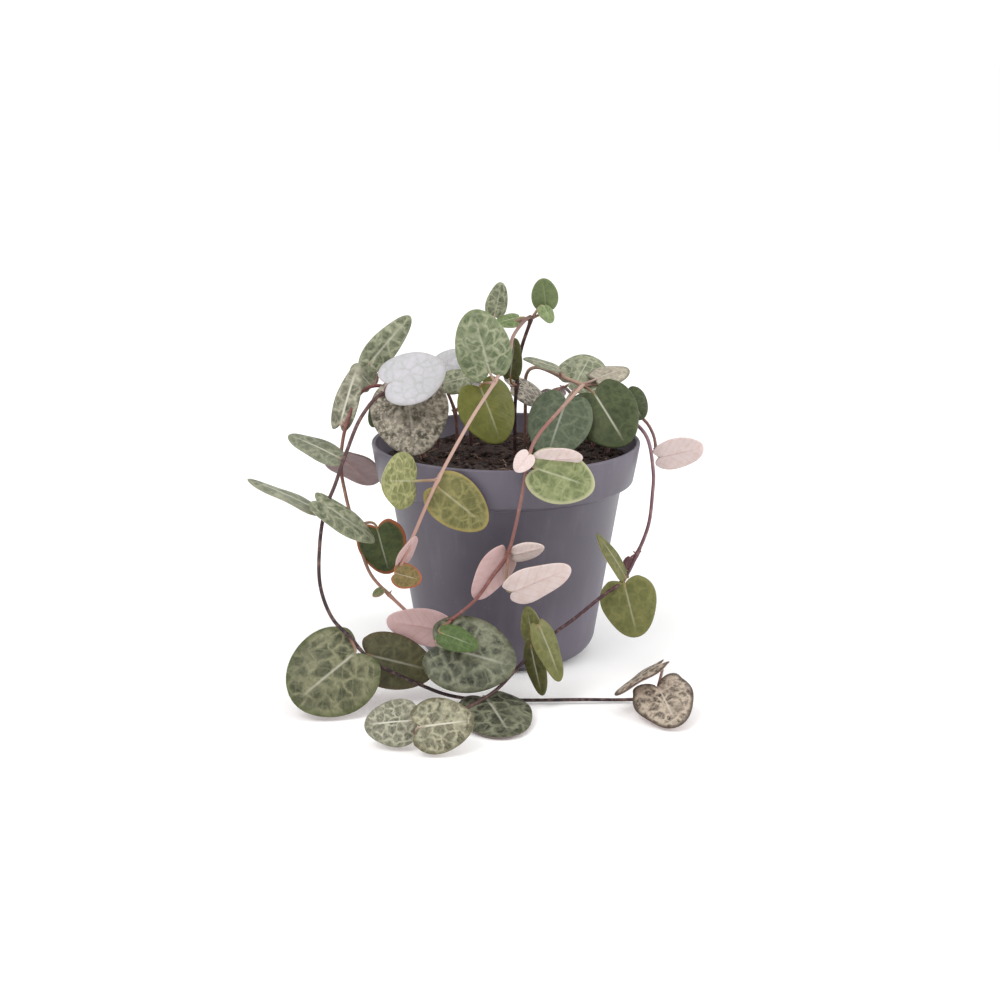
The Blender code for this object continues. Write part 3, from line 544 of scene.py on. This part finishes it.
def leaf_material():
    """Waxy leaves: dark soft patches in a pale net above, pale pink with faint veins below."""
    leaf = Shader("leaf_skin")
    leaf.set("Specular IOR Level", 0.28)
    uv = leaf.node("ShaderNodeUVMap", {"uv_map": "leaf"}, {})
    marks = leaf.attribute("marks")
    seed = leaf.attribute("marks", "Alpha")
    net_share = leaf.node("ShaderNodeSeparateColor", {}, {0: marks})
    speckle_share = net_share.output(1)
    edge_share = net_share.output(2)
    across = leaf.node("ShaderNodeSeparateXYZ", {}, {0: uv})
    along = across.output(1)
    spread = seed * PATTERN_SPREAD
    spot = leaf.node("ShaderNodeCombineXYZ", {}, {0: across, 1: along, 2: spread})
    sway = leaf.noise(spot, 4.0, 2.0) - 0.5
    cross_sway = leaf.noise(spot, 5.5, 2.0) - 0.5
    swayed = leaf.node("ShaderNodeCombineXYZ", {}, {
        0: across + PATTERN_SWAY * sway, 1: along + PATTERN_SWAY * cross_sway, 2: spread})
    cells = leaf.node("ShaderNodeTexVoronoi", {"feature": "DISTANCE_TO_EDGE"}, {
        "Vector": swayed, "Scale": NET_SCALE, "Randomness": 0.8})
    fine_cells = leaf.node("ShaderNodeTexVoronoi", {"feature": "DISTANCE_TO_EDGE"}, {
        "Vector": swayed, "Scale": FINE_NET_SCALE, "Randomness": 0.9})
    strength = leaf.ramp(leaf.noise(spot, 4.5, 3.0), 0.32, 0.62, 0.5, 1.0)
    net = leaf.ramp(cells, 0.0, 0.21, 0.85, 0.0) * strength
    net = net + leaf.ramp(fine_cells, 0.0, 0.2, 0.25, 0.0) * strength
    slant = along - abs(across) * VEIN_SLANT + VEIN_SWAY * sway
    slant = leaf.node("ShaderNodeMath", {"operation": "PINGPONG"}, {0: slant, 1: VEIN_HALF_GAP})
    side_veins = leaf.ramp(slant, 0.0, 0.02, 0.55, 0.0) * strength
    midrib = leaf.ramp(abs(across), 0.004, 0.026, 1.0, 0.0) * leaf.ramp(along, 0.5, 0.98, 1.0, 0.0)
    lines = net.highest(side_veins)
    speckle = leaf.ramp(leaf.noise(spot, 15.0, 4.0, 0.62), 0.46, 0.6)
    ring = leaf.attribute("ring", "Fac")
    speckle = speckle * leaf.ramp(ring, 0.1, 0.8, 0.45, 1.0)
    cover = net_share * lines + speckle_share * speckle * 0.75
    cover = leaf.node("ShaderNodeMath", {"operation": "MINIMUM"}, {0: cover, 1: 1.0})
    cloud = leaf.noise(spot, 2.4, 3.0)
    net_colour = leaf.attribute("net_colour")
    patch = leaf.mix(leaf.ramp(cloud, 0.35, 0.75, 0.0, 0.22), leaf.attribute("patch"), net_colour)
    upper = leaf.mix(cover, patch, net_colour)
    rib_colour = leaf.mix(0.4, net_colour, rgb("E6E2D8"))
    upper = leaf.mix(midrib * leaf.attribute("rib", "Fac"), upper, rib_colour)
    upper = leaf.mix(leaf.ramp(ring, 0.84, 0.985) * edge_share, upper, leaf.attribute("edge"))
    under = leaf.mix((side_veins + midrib) * 0.3, leaf.attribute("below"), rgb("9C5F5C"))
    under = leaf.mix(leaf.ramp(leaf.noise(spot, 7.0, 4.0), 0.4, 0.7, 0.0, 0.35), under,
                     leaf.attribute("edge"))
    side = leaf.attribute("side", "Fac")
    leaf.set("Base Color", leaf.mix(leaf.ramp(side, 0.35, 0.65), under, upper))
    leaf.set("Roughness", leaf.ramp(leaf.noise(spot, 9.0, 3.0), 0.3, 0.7, 0.44, 0.6))
    grain = leaf.noise(spot, 60.0, 3.0)
    leaf.bump(side_veins * -0.5 + cloud * 0.8 + grain * 0.12, 0.14, 0.7)
    return leaf.material


def stem_material():
    """Thin smooth stems: brown, pink and purple along their length, with faint freckles."""
    stem = Shader("stem_skin", roughness=0.5)
    stem.set("Specular IOR Level", 0.3)
    freckles = stem.noise(stem.place(), 700.0, 3.0)
    colour = stem.mix(stem.ramp(freckles, 0.45, 0.75, 0.0, 0.22), stem.attribute("tone"),
                      rgb("C9A08E"))
    stem.set("Base Color", colour)
    stem.bump(freckles, 0.04, 0.4)
    return stem.material


def pot_material():
    """Dark grey moulded plastic with a slight purple cast, fine grain and faint scuffs."""
    pot = Shader("pot_plastic")
    pot.set("Specular IOR Level", 0.4)
    place = pot.place()
    cloud = pot.noise(place, 45.0, 4.0)
    stretched = pot.node("ShaderNodeMapping", {}, {"Vector": place, "Scale": (1.0, 1.0, 0.12)})
    streaks = pot.noise(stretched, 320.0, 4.0, 0.6)
    colour = pot.mix(pot.ramp(cloud, 0.3, 0.75), rgb("524D57"), rgb("5E5864"))
    colour = pot.mix(pot.ramp(streaks, 0.5, 0.75, 0.0, 0.22), colour, rgb("756E7C"))
    dust = pot.ramp(pot.noise(place, 900.0, 3.0), 0.68, 0.76, 0.0, 0.2)
    colour = pot.mix(dust, colour, rgb("8C868E"))
    pot.set("Base Color", colour)
    pot.set("Roughness", pot.ramp(cloud, 0.3, 0.7, 0.38, 0.5) + dust * 0.2)
    pot.bump(pot.noise(place, 2600.0, 3.0) * 0.5 + streaks * 0.25, 0.05, 0.5)
    return pot.material


def soil_material():
    """Damp dark peat with lighter specks."""
    soil = Shader("soil_peat", roughness=0.92)
    place = soil.place()
    grain = soil.noise(place, 700.0, 5.0, 0.65)
    colour = soil.mix(soil.ramp(grain, 0.35, 0.65), rgb("1A110E"), rgb("3E2A22"))
    specks = soil.ramp(soil.noise(place, 1500.0, 2.0), 0.66, 0.74)
    colour = soil.mix(specks, colour, rgb("8A6C58"))
    soil.set("Base Color", colour)
    soil.bump(grain + soil.noise(place, 2400.0, 3.0) * 0.4, 0.4, 0.9)
    return soil.material


def fibre_material():
    """Dry straw-coloured root and peat fibres."""
    fibre = Shader("peat_fibre", roughness=0.8)
    shade = fibre.ramp(fibre.noise(fibre.place(), 400.0, 3.0), 0.35, 0.65)
    fibre.set("Base Color", fibre.mix(shade, rgb("4A3226"), rgb("A98A72")))
    return fibre.material


def floor_material():
    """Pale studio paper."""
    paper = Shader("studio_paper", roughness=0.9)
    shade = paper.ramp(paper.noise(paper.place(), 3.0, 2.0), 0.3, 0.7)
    paper.set("Base Color", paper.mix(shade, rgb("FBFBFA"), rgb("FDFDFC")))
    return paper.material


def new_mesh(name, shape):
    """Turns a bmesh into a mesh, and frees the bmesh."""
    mesh = bpy.data.meshes.new(name)
    shape.to_mesh(mesh)
    shape.free()
    return mesh


def new_object(name, data):
    """Puts a mesh, curve, lamp or camera into the scene."""
    item = bpy.data.objects.new(name, data)
    bpy.context.scene.collection.objects.link(item)
    return item


def finished(name, shape, material, nodes):
    """Turns a bmesh into a piece that rides on the object and stands for CAD nodes."""
    mesh = new_mesh(name, shape)
    mesh.shade_smooth()
    mesh.materials.append(material)
    piece = new_object(name, mesh)
    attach(piece, "root")
    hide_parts(*nodes)
    return piece


def smooth_route(points, step):
    """Points about one step apart on a smooth curve through the given ones."""
    points = [Vector(point) for point in points]
    ends = [2 * points[0] - points[1], *points, 2 * points[-1] - points[-2]]
    route = []
    for before, start, end, after in zip(ends, ends[1:], ends[2:], ends[3:]):
        pieces = max(1, round((end - start).length / step))
        for i in range(pieces):
            t = i / pieces
            route.append(0.5 * (2 * start + (end - before) * t
                                + (2 * before - 5 * start + 4 * end - after) * t ** 2
                                + (3 * start - before - 3 * end + after) * t ** 3))
    return [*route, points[-1]]


def turned(shape, profile, sides):
    """Spins a profile of radius and height, which starts and ends on the axis, into a closed body."""
    corners = [shape.verts.new((radius * MM, 0.0, height * MM)) for radius, height in profile]
    edges = [shape.edges.new(pair) for pair in zip(corners, corners[1:])]
    bmesh.ops.spin(shape, geom=[*corners, *edges], cent=(0, 0, 0), axis=(0, 0, 1),
                   angle=2 * math.pi, steps=sides, use_merge=True)
    bmesh.ops.remove_doubles(shape, verts=shape.verts, dist=MERGE_DISTANCE * MM)
    bmesh.ops.recalc_face_normals(shape, faces=shape.faces)


def bend(centre, radius, start, end, steps):
    """Points of an arc of radius and height, with its angles in degrees from the outward way."""
    angles = [math.radians(start + (end - start) * i / steps) for i in range(steps + 1)]
    return [(centre[0] + radius * math.cos(a), centre[1] + radius * math.sin(a)) for a in angles]


def drain_cutter(turn):
    """A short upright cylinder, where one drain hole goes."""
    shape = bmesh.new()
    bmesh.ops.create_cone(shape, cap_ends=True, segments=DRAIN_SIDES, radius1=DRAIN_RADIUS * MM,
                          radius2=DRAIN_RADIUS * MM, depth=DRAIN_DEPTH * MM)
    middle = Vector((DRAIN_CIRCLE * math.cos(turn), DRAIN_CIRCLE * math.sin(turn), 0.0)) * MM
    bmesh.ops.translate(shape, verts=shape.verts, vec=middle)
    return new_object("drain", new_mesh("drain", shape))


def drill(pot):
    """Cuts the ring of drain holes through the base of the pot."""
    cutters = [drain_cutter(2 * math.pi * i / DRAIN_HOLES) for i in range(DRAIN_HOLES)]
    for cutter in cutters:
        cut = pot.modifiers.new("drain", "BOOLEAN")
        cut.operation = "DIFFERENCE"
        cut.solver = "EXACT"
        cut.object = cutter
    graph = bpy.context.evaluated_depsgraph_get()
    holed = bpy.data.meshes.new_from_object(pot.evaluated_get(graph))
    plain = pot.data
    pot.modifiers.clear()
    pot.data = holed
    bpy.data.meshes.remove(plain)
    for cutter in cutters:
        bpy.data.objects.remove(cutter)


def build_pot():
    """The pot, turned from the axis outside, over the lip and back to the axis inside."""
    corner = (BODY_FOOT_RADIUS - BASE_CORNER, BASE_CORNER)
    shoulder = (BODY_TOP_RADIUS + EASE, BODY_TOP_HEIGHT - SHOULDER_DROP)
    collar_foot = (COLLAR_FOOT_RADIUS - EASE, COLLAR_FOOT_HEIGHT + EASE)
    outer = [(0.0, 0.0), (corner[0] - BASE_MARGIN, 0.0),
             *bend(corner, BASE_CORNER, -90, -BODY_LEAN, BASE_CORNER_STEPS),
             (BODY_TOP_RADIUS - SHOULDER_INSET, BODY_TOP_HEIGHT - EASE),
             *bend(shoulder, EASE, 180, 100, SHOULDER_STEPS),
             *bend(collar_foot, EASE, -70, -COLLAR_LEAN, COLLAR_FOOT_STEPS),
             (COLLAR_FOOT_RADIUS + COLLAR_BULGE, COLLAR_FOOT_HEIGHT + COLLAR_BULGE_RISE)]
    lip = bend((RIM_RADIUS - LIP, POT_HEIGHT - LIP), LIP, 0, 180, LIP_STEPS)
    inner = [(COLLAR_FOOT_RADIUS - WALL, COLLAR_FOOT_HEIGHT + INNER_SHOULDER_RISE),
             (BODY_TOP_RADIUS - WALL, BODY_TOP_HEIGHT),
             *bend(corner, BASE_CORNER - WALL, -BODY_LEAN, -90, INNER_CORNER_STEPS),
             (0.0, WALL)]
    shape = bmesh.new()
    turned(shape, [*outer, *lip, *inner], POT_SIDES)
    drill(finished("pot_shell", shape, pot_material(), ["pot"]))


def soil_surface(x, y):
    """Height of the soil's lumpy top."""
    height = SOIL_TOP - SOIL_DIP
    for waves, depth, start, layers in SOIL_WAVES:
        place = Vector((x, y, 0.0)) * waves + Vector(start)
        height += noise.fractal(place, *layers) * depth
    return height


def build_soil_bed(peat):
    """The plug of soil, with a lumpy top."""
    top = [(SOIL_RADIUS * i / SOIL_RINGS, SOIL_TOP) for i in range(SOIL_RINGS + 1)]
    side = [(SOIL_RADIUS - SOIL_COLLAR_INSET, COLLAR_FOOT_HEIGHT + SOIL_COLLAR_RISE),
            (BODY_TOP_RADIUS - SOIL_SHOULDER_INSET, BODY_TOP_HEIGHT),
            (BODY_FOOT_RADIUS - SOIL_CORNER_INSET, BASE_CORNER + SOIL_CORNER_RISE),
            (SOIL_FOOT_RADIUS, SOIL_BOTTOM), (0.0, SOIL_BOTTOM)]
    shape = bmesh.new()
    turned(shape, [*top, *side], SOIL_SIDES)
    for vertex in shape.verts:
        if vertex.co.z > (SOIL_TOP - SOIL_TOP_BAND) * MM:
            vertex.co.z = soil_surface(vertex.co.x / MM, vertex.co.y / MM) * MM
    finished("soil_bed", shape, peat, ["soil"])


def build_crumbs(peat, draw):
    """Rough crumbs scattered over the soil."""
    shape = bmesh.new()
    for _ in range(CRUMBS):
        reach = (SOIL_RADIUS - CRUMB_MARGIN) * math.sqrt(draw.random())
        turn = draw.uniform(0, 2 * math.pi)
        x, y = reach * math.cos(turn), reach * math.sin(turn)
        size = draw.uniform(*CRUMB_SIZES) * draw.uniform(*CRUMB_WEAR)
        lump = bmesh.ops.create_icosphere(shape, subdivisions=2, radius=size * MM)["verts"]
        stretch = Vector([draw.uniform(*limits) for limits in CRUMB_STRETCH])
        offset = Vector((draw.uniform(0, CRUMB_NOISE_REACH), 0, 0))
        middle = Vector((x, y, soil_surface(x, y) + size * CRUMB_LIFT)) * MM
        for vertex in lump:
            bumps = noise.noise(vertex.co.normalized() * CRUMB_BUMPS + offset)
            vertex.co = vertex.co * stretch * (1 + CRUMB_ROUGHNESS * bumps) + middle
    finished("soil_crumbs", shape, peat, ["soil"])


def build_fibres(draw):
    """Thin arched fibres lying on the soil."""
    lines = []
    for _ in range(FIBRES):
        reach = (SOIL_RADIUS - FIBRE_MARGIN) * math.sqrt(draw.random())
        turn = draw.uniform(0, 2 * math.pi)
        heading = draw.uniform(0, 2 * math.pi)
        length = draw.uniform(*FIBRE_LENGTHS)
        route = []
        for i in range(FIBRE_STEPS + 1):
            t = i / FIBRE_STEPS
            x = reach * math.cos(turn) + length * (t - 0.5) * math.cos(heading)
            y = reach * math.sin(turn) + length * (t - 0.5) * math.sin(heading)
            arch = FIBRE_ARCH * math.sin(t * math.pi) * draw.uniform(*FIBRE_ARCH_SHARES)
            kink = draw.uniform(-FIBRE_KINK, FIBRE_KINK)
            route.append(Vector((x + kink, y, soil_surface(x, y) + (FIBRE_LIFT + arch))))
        lines.append((route, [FIBRE_RADIUS] * len(route)))
    shape = bmesh.new()
    add_tubes(shape, lines, FIBRE_ROUNDNESS)
    finished("soil_fibres", shape, fibre_material(), ["soil"])


def build_soil():
    """The plug of soil, with crumbs and fibres lying on it."""
    peat = soil_material()
    draw = random.Random(SOIL_SEED)
    build_soil_bed(peat)
    build_crumbs(peat, draw)
    build_fibres(draw)


def add_tubes(shape, lines, resolution):
    """Adds a closed round tube to a bmesh for each line of points and radii."""
    curve = bpy.data.curves.new("lines", "CURVE")
    curve.dimensions = "3D"
    curve.bevel_depth = MM
    curve.bevel_resolution = resolution
    curve.use_fill_caps = True
    for points, radii in lines:
        spline = curve.splines.new("POLY")
        spline.points.add(len(points) - 1)
        for target, point, radius in zip(spline.points, points, radii):
            target.co = (*(Vector(point) * MM), 1.0)
            target.radius = radius
    drawn = new_object("lines", curve)
    graph = bpy.context.evaluated_depsgraph_get()
    graph.update()
    mesh = bpy.data.meshes.new_from_object(drawn.evaluated_get(graph))
    shape.from_mesh(mesh)
    bmesh.ops.remove_doubles(shape, verts=shape.verts, dist=MERGE_DISTANCE * MM)
    bpy.data.objects.remove(drawn)
    bpy.data.curves.remove(curve)
    bpy.data.meshes.remove(mesh)


def shade_along(colours, share):
    """The colour at a share of the way through a row of colours, just short of the last one."""
    spot = min(LAST_SHARE, share) * (len(colours) - 1)
    before = int(spot)
    return colours[before].lerp(colours[before + 1], spot - before)


def stalk_route(leaf, base):
    """A bent line from the stem to the notch, then a little way into the blade."""
    length, _, along, _ = blade_frame(leaf)
    notch = Vector(leaf.notch)
    base = Vector(base)
    ease = STALK_EASE * (notch - base).length
    turn_out = base.lerp(notch, STALK_SETTING_OUT)
    turn_in = notch - along * ease
    route = []
    for i in range(STALK_STEPS):
        t = i / STALK_STEPS
        route.append((1 - t) ** 3 * base + 3 * (1 - t) ** 2 * t * turn_out
                     + 3 * (1 - t) * t ** 2 * turn_in + t ** 3 * notch)
    return [*route, notch, notch + along * length * STALK_INTO_BLADE]


def add_buds(shape, nodes):
    """Adds a pair of tiny cone-shaped buds at each swollen node of a stem."""
    for number, node in enumerate(nodes):
        turn = number * BUD_TURN
        for side in (-1, 1):
            way = Vector((math.cos(turn) * side, math.sin(turn) * side, BUD_RISE))
            lean = Vector((0, 0, 1)).rotation_difference(way).to_matrix().to_4x4()
            middle = (node + way.normalized() * BUD_LENGTH * BUD_SEAT) * MM
            bmesh.ops.create_cone(shape, cap_ends=True, segments=BUD_SIDES,
                                  radius1=BUD_RADIUS * MM, radius2=BUD_RADIUS * MM * BUD_TIP,
                                  depth=BUD_LENGTH * MM, matrix=Matrix.Translation(middle) @ lean)


def build_stem(vine, material):
    """A vine's stem with swollen nodes, its buds and the stalks of its leaves."""
    colours = [tint(code) for code in STEM_COLOURS[vine.name]]
    root = [(*vine.root, height) for height in ROOT_HEIGHTS]
    points = smooth_route(root + list(vine.route), STEM_STEP)
    nodes = [Vector(vine.route[at]) for at in sorted({leaf.at for leaf in vine.leaves})]
    tree = KDTree(len(points) + len(vine.leaves) * (STALK_STEPS + 2))
    tones = []
    radii = []
    for i, point in enumerate(points):
        share = i / (len(points) - 1)
        tree.insert(point * MM, i)
        tones.append(shade_along(colours, share))
        swell = sum(NODE_SWELL * math.exp(-((point - node).length / NODE_REACH) ** 2)
                    for node in nodes)
        radii.append(STEM_RADIUS * (STEM_FULLNESS - STEM_TAPER * share) * (1 + swell))
    lines = [(points, radii)]
    red = tint(STALK_RED)
    for leaf, finish in zip(vine.leaves, LEAF_FINISHES[vine.name]):
        route = stalk_route(leaf, vine.route[leaf.at])
        green = tint(FINISHES[finish].net_colour)
        nearest = min(range(len(points)), key=lambda i: (points[i] - route[0]).length)
        taper = []
        for i, point in enumerate(route):
            share = i / (len(route) - 1)
            tree.insert(point * MM, len(tones))
            reddened = tones[nearest].lerp(red, min(1.0, share * STALK_REDDENING))
            tones.append(reddened.lerp(green, share * STALK_GREENING))
            taper.append(STALK_RADIUS * (STALK_FULLNESS - STALK_TAPER * i / (len(route) - 1)))
        taper[-1] *= STALK_END
        lines.append((route, taper))
    tree.balance()
    shape = bmesh.new()
    add_tubes(shape, lines, STEM_ROUNDNESS)
    add_buds(shape, nodes)
    bmesh.ops.recalc_face_normals(shape, faces=shape.faces)
    layer = shape.verts.layers.float_color.new("tone")
    for vertex in shape.verts:
        _, nearest, _ = tree.find(vertex.co)
        vertex[layer] = (*tones[nearest], 1.0)
    finished(f"{vine.name}_stem", shape, material, [vine.name])


def blade_frame(leaf):
    """Length of a leaf, and the directions across it, along it and out of its upper side."""
    along = Vector(leaf.tip) - Vector(leaf.notch)
    length = along.length
    along.normalize()
    out = Vector(leaf.face)
    out = (out - along * out.dot(along)).normalized()
    return length, along.cross(out), along, out


def heart_point(turn, leaf, length):
    """A point of the flat heart's edge, with its notch at the origin and its tip at +Y.

    Turn runs from -1 to 1 along the edge, with the tip at 0. The edge is a rounded heart in
    polar form about the notch. The power says how full its lobes are, and widest is the
    cosine at which it is widest.
    """
    angle = math.pi * turn * (1 - TURN_EASE * (1 - turn ** 2))
    power = 1 - LOBE_FULLNESS * leaf.lobes
    widest = power / (1 + power)
    half_width = ((1 + widest) / 2) ** power * math.sqrt(1 - widest ** 2)
    reach = max(0.0, (1 + math.cos(angle)) / 2) ** power
    reach *= 1 + leaf.point * math.exp(-(angle / TIP_SPREAD) ** 2)
    across = reach * math.sin(angle) * length * leaf.width / (2 * half_width)
    along = reach * math.cos(angle) * length / (1 + leaf.point)
    return across, along


def blade_height(across, along, length):
    """How far the blade bends out of its flat plane, at its edges and towards its tip."""
    return (CUP * across ** 2 + ARCH * along * abs(along)) / length


def leaf_tone(code, depth, warmth):
    """A leaf's colour, deepened, greyed and warmed a little."""
    colour = tint(code) * depth
    grey = sum(colour) / 3
    return (*colour.lerp(Vector((grey, grey, grey)), LEAF_GREYING) * Vector(warmth), 1.0)


def add_leaf(shape, layers, leaf, finish, seed):
    """A heart-shaped blade: a ball flattened to the leaf's outline, with a dip along its midrib."""
    length, across_axis, along_axis, out_axis = blade_frame(leaf)
    colours = [leaf_tone(code, *tone) for code, tone in zip(finish[:4], LEAF_TONES)]
    marks = (finish.net, finish.speckle, finish.edging, seed)
    centre = BLADE_CENTRE * length
    ball = bmesh.ops.create_uvsphere(shape, u_segments=LEAF_SIDES, v_segments=LEAF_RINGS,
                                     radius=1.0)["verts"]
    flat = {}
    for vertex in ball:
        x, y, z = vertex.co
        ring = math.hypot(x, y)
        turn = math.atan2(x, y) / math.pi
        edge_across, edge_along = heart_point(turn, leaf, length)
        edge_across *= 1 + NOTCH_OPENING * max(0.0, abs(turn) - NOTCH_START) / (1 - NOTCH_START)
        across = ring * edge_across
        along = centre + ring * (edge_along - centre)
        thick = 0.5 * LEAF_THICKNESS * math.copysign(abs(z) ** EDGE_FULLNESS, z)
        dip = MIDRIB_DIP * math.exp(-(across / (MIDRIB_WIDTH * length)) ** 2)
        dip *= 1 - ring ** MIDRIB_FADE
        wave = math.sin(WAVE_COUNT * math.pi * turn + WAVE_SHIFT * seed)
        wave *= MARGIN_WAVE * length * ring ** WAVE_GROWTH
        height = blade_height(across, along, length) + thick - dip + wave
        vertex.co = (Vector(leaf.notch) + across * across_axis + along * along_axis
                     + height * out_axis) * MM
        for layer, colour in zip(layers[:4], colours):
            vertex[layer] = colour
        vertex[layers.marks] = marks
        vertex[layers.ring] = ring
        vertex[layers.side] = 0.5 + 0.5 * math.copysign(1.0, z) * (abs(z) > EDGE_BAND)
        vertex[layers.rib] = finish.rib
        flat[vertex] = (across / length, along / length)
    for face in {face for vertex in ball for face in vertex.link_faces}:
        for loop in face.loops:
            loop[layers.flat].uv = flat[loop.vert]


def build_leaves(vine, material, draw):
    """All the leaves of a vine as one piece, whose points hold each leaf's own colours."""
    shape = bmesh.new()
    colour = shape.verts.layers.float_color
    number = shape.verts.layers.float
    layers = Layers(
        *[colour.new(name) for name in ("patch", "net_colour", "below", "edge", "marks")],
        *[number.new(name) for name in ("ring", "side", "rib")],
        shape.loops.layers.uv.new("leaf"))
    for leaf, name in zip(vine.leaves, LEAF_FINISHES[vine.name]):
        add_leaf(shape, layers, leaf, FINISHES[name], draw.random())
    finished(f"{vine.name}_leaves", shape, material, [vine.name])


def build_studio():
    """A pale floor, soft light from all round and the photograph's camera."""
    ground = bmesh.new()
    bmesh.ops.create_circle(ground, cap_ends=True, segments=FLOOR_SIDES, radius=FLOOR_RADIUS * MM)
    mesh = new_mesh("studio_floor", ground)
    mesh.materials.append(floor_material())
    studio_floor = new_object("studio_floor", mesh)
    studio_floor.location.z = -FLOOR_DROP * MM

    world = bpy.data.worlds.new("studio_air")
    world.use_nodes = True
    air = world.node_tree.nodes["Background"]
    air.inputs["Color"].default_value = (1.0, 1.0, 1.0, 1.0)
    air.inputs["Strength"].default_value = AIR_STRENGTH
    bpy.context.scene.world = world

    for name, place, size, watts in LIGHTS:
        lamp = bpy.data.lights.new(name, "AREA")
        lamp.size = size
        lamp.energy = watts
        light = new_object(name, lamp)
        light.location = place
        aim = Vector(LAMP_AIM) - Vector(place)
        light.rotation_euler = aim.to_track_quat("-Z", "Y").to_euler()

    bpy.context.scene.view_settings.view_transform = "Standard"
    camera = bpy.data.cameras.new("camera")
    camera.lens = CAMERA_LENS
    camera.sensor_width = CAMERA_SENSOR
    camera.clip_start = CAMERA_NEAR * MM
    viewer = new_object("camera", camera)
    viewer.location = Vector(CAMERA_AT) * MM
    viewer.rotation_euler = (CAMERA_TILT, 0.0, 0.0)
    bpy.context.scene.camera = viewer


build_pot()
build_soil()
leaf_skin = leaf_material()
stem_skin = stem_material()
draw = random.Random(LEAF_SEED)
for vine in VINES:
    build_stem(vine, stem_skin)
    build_leaves(vine, leaf_skin, draw)
build_studio()
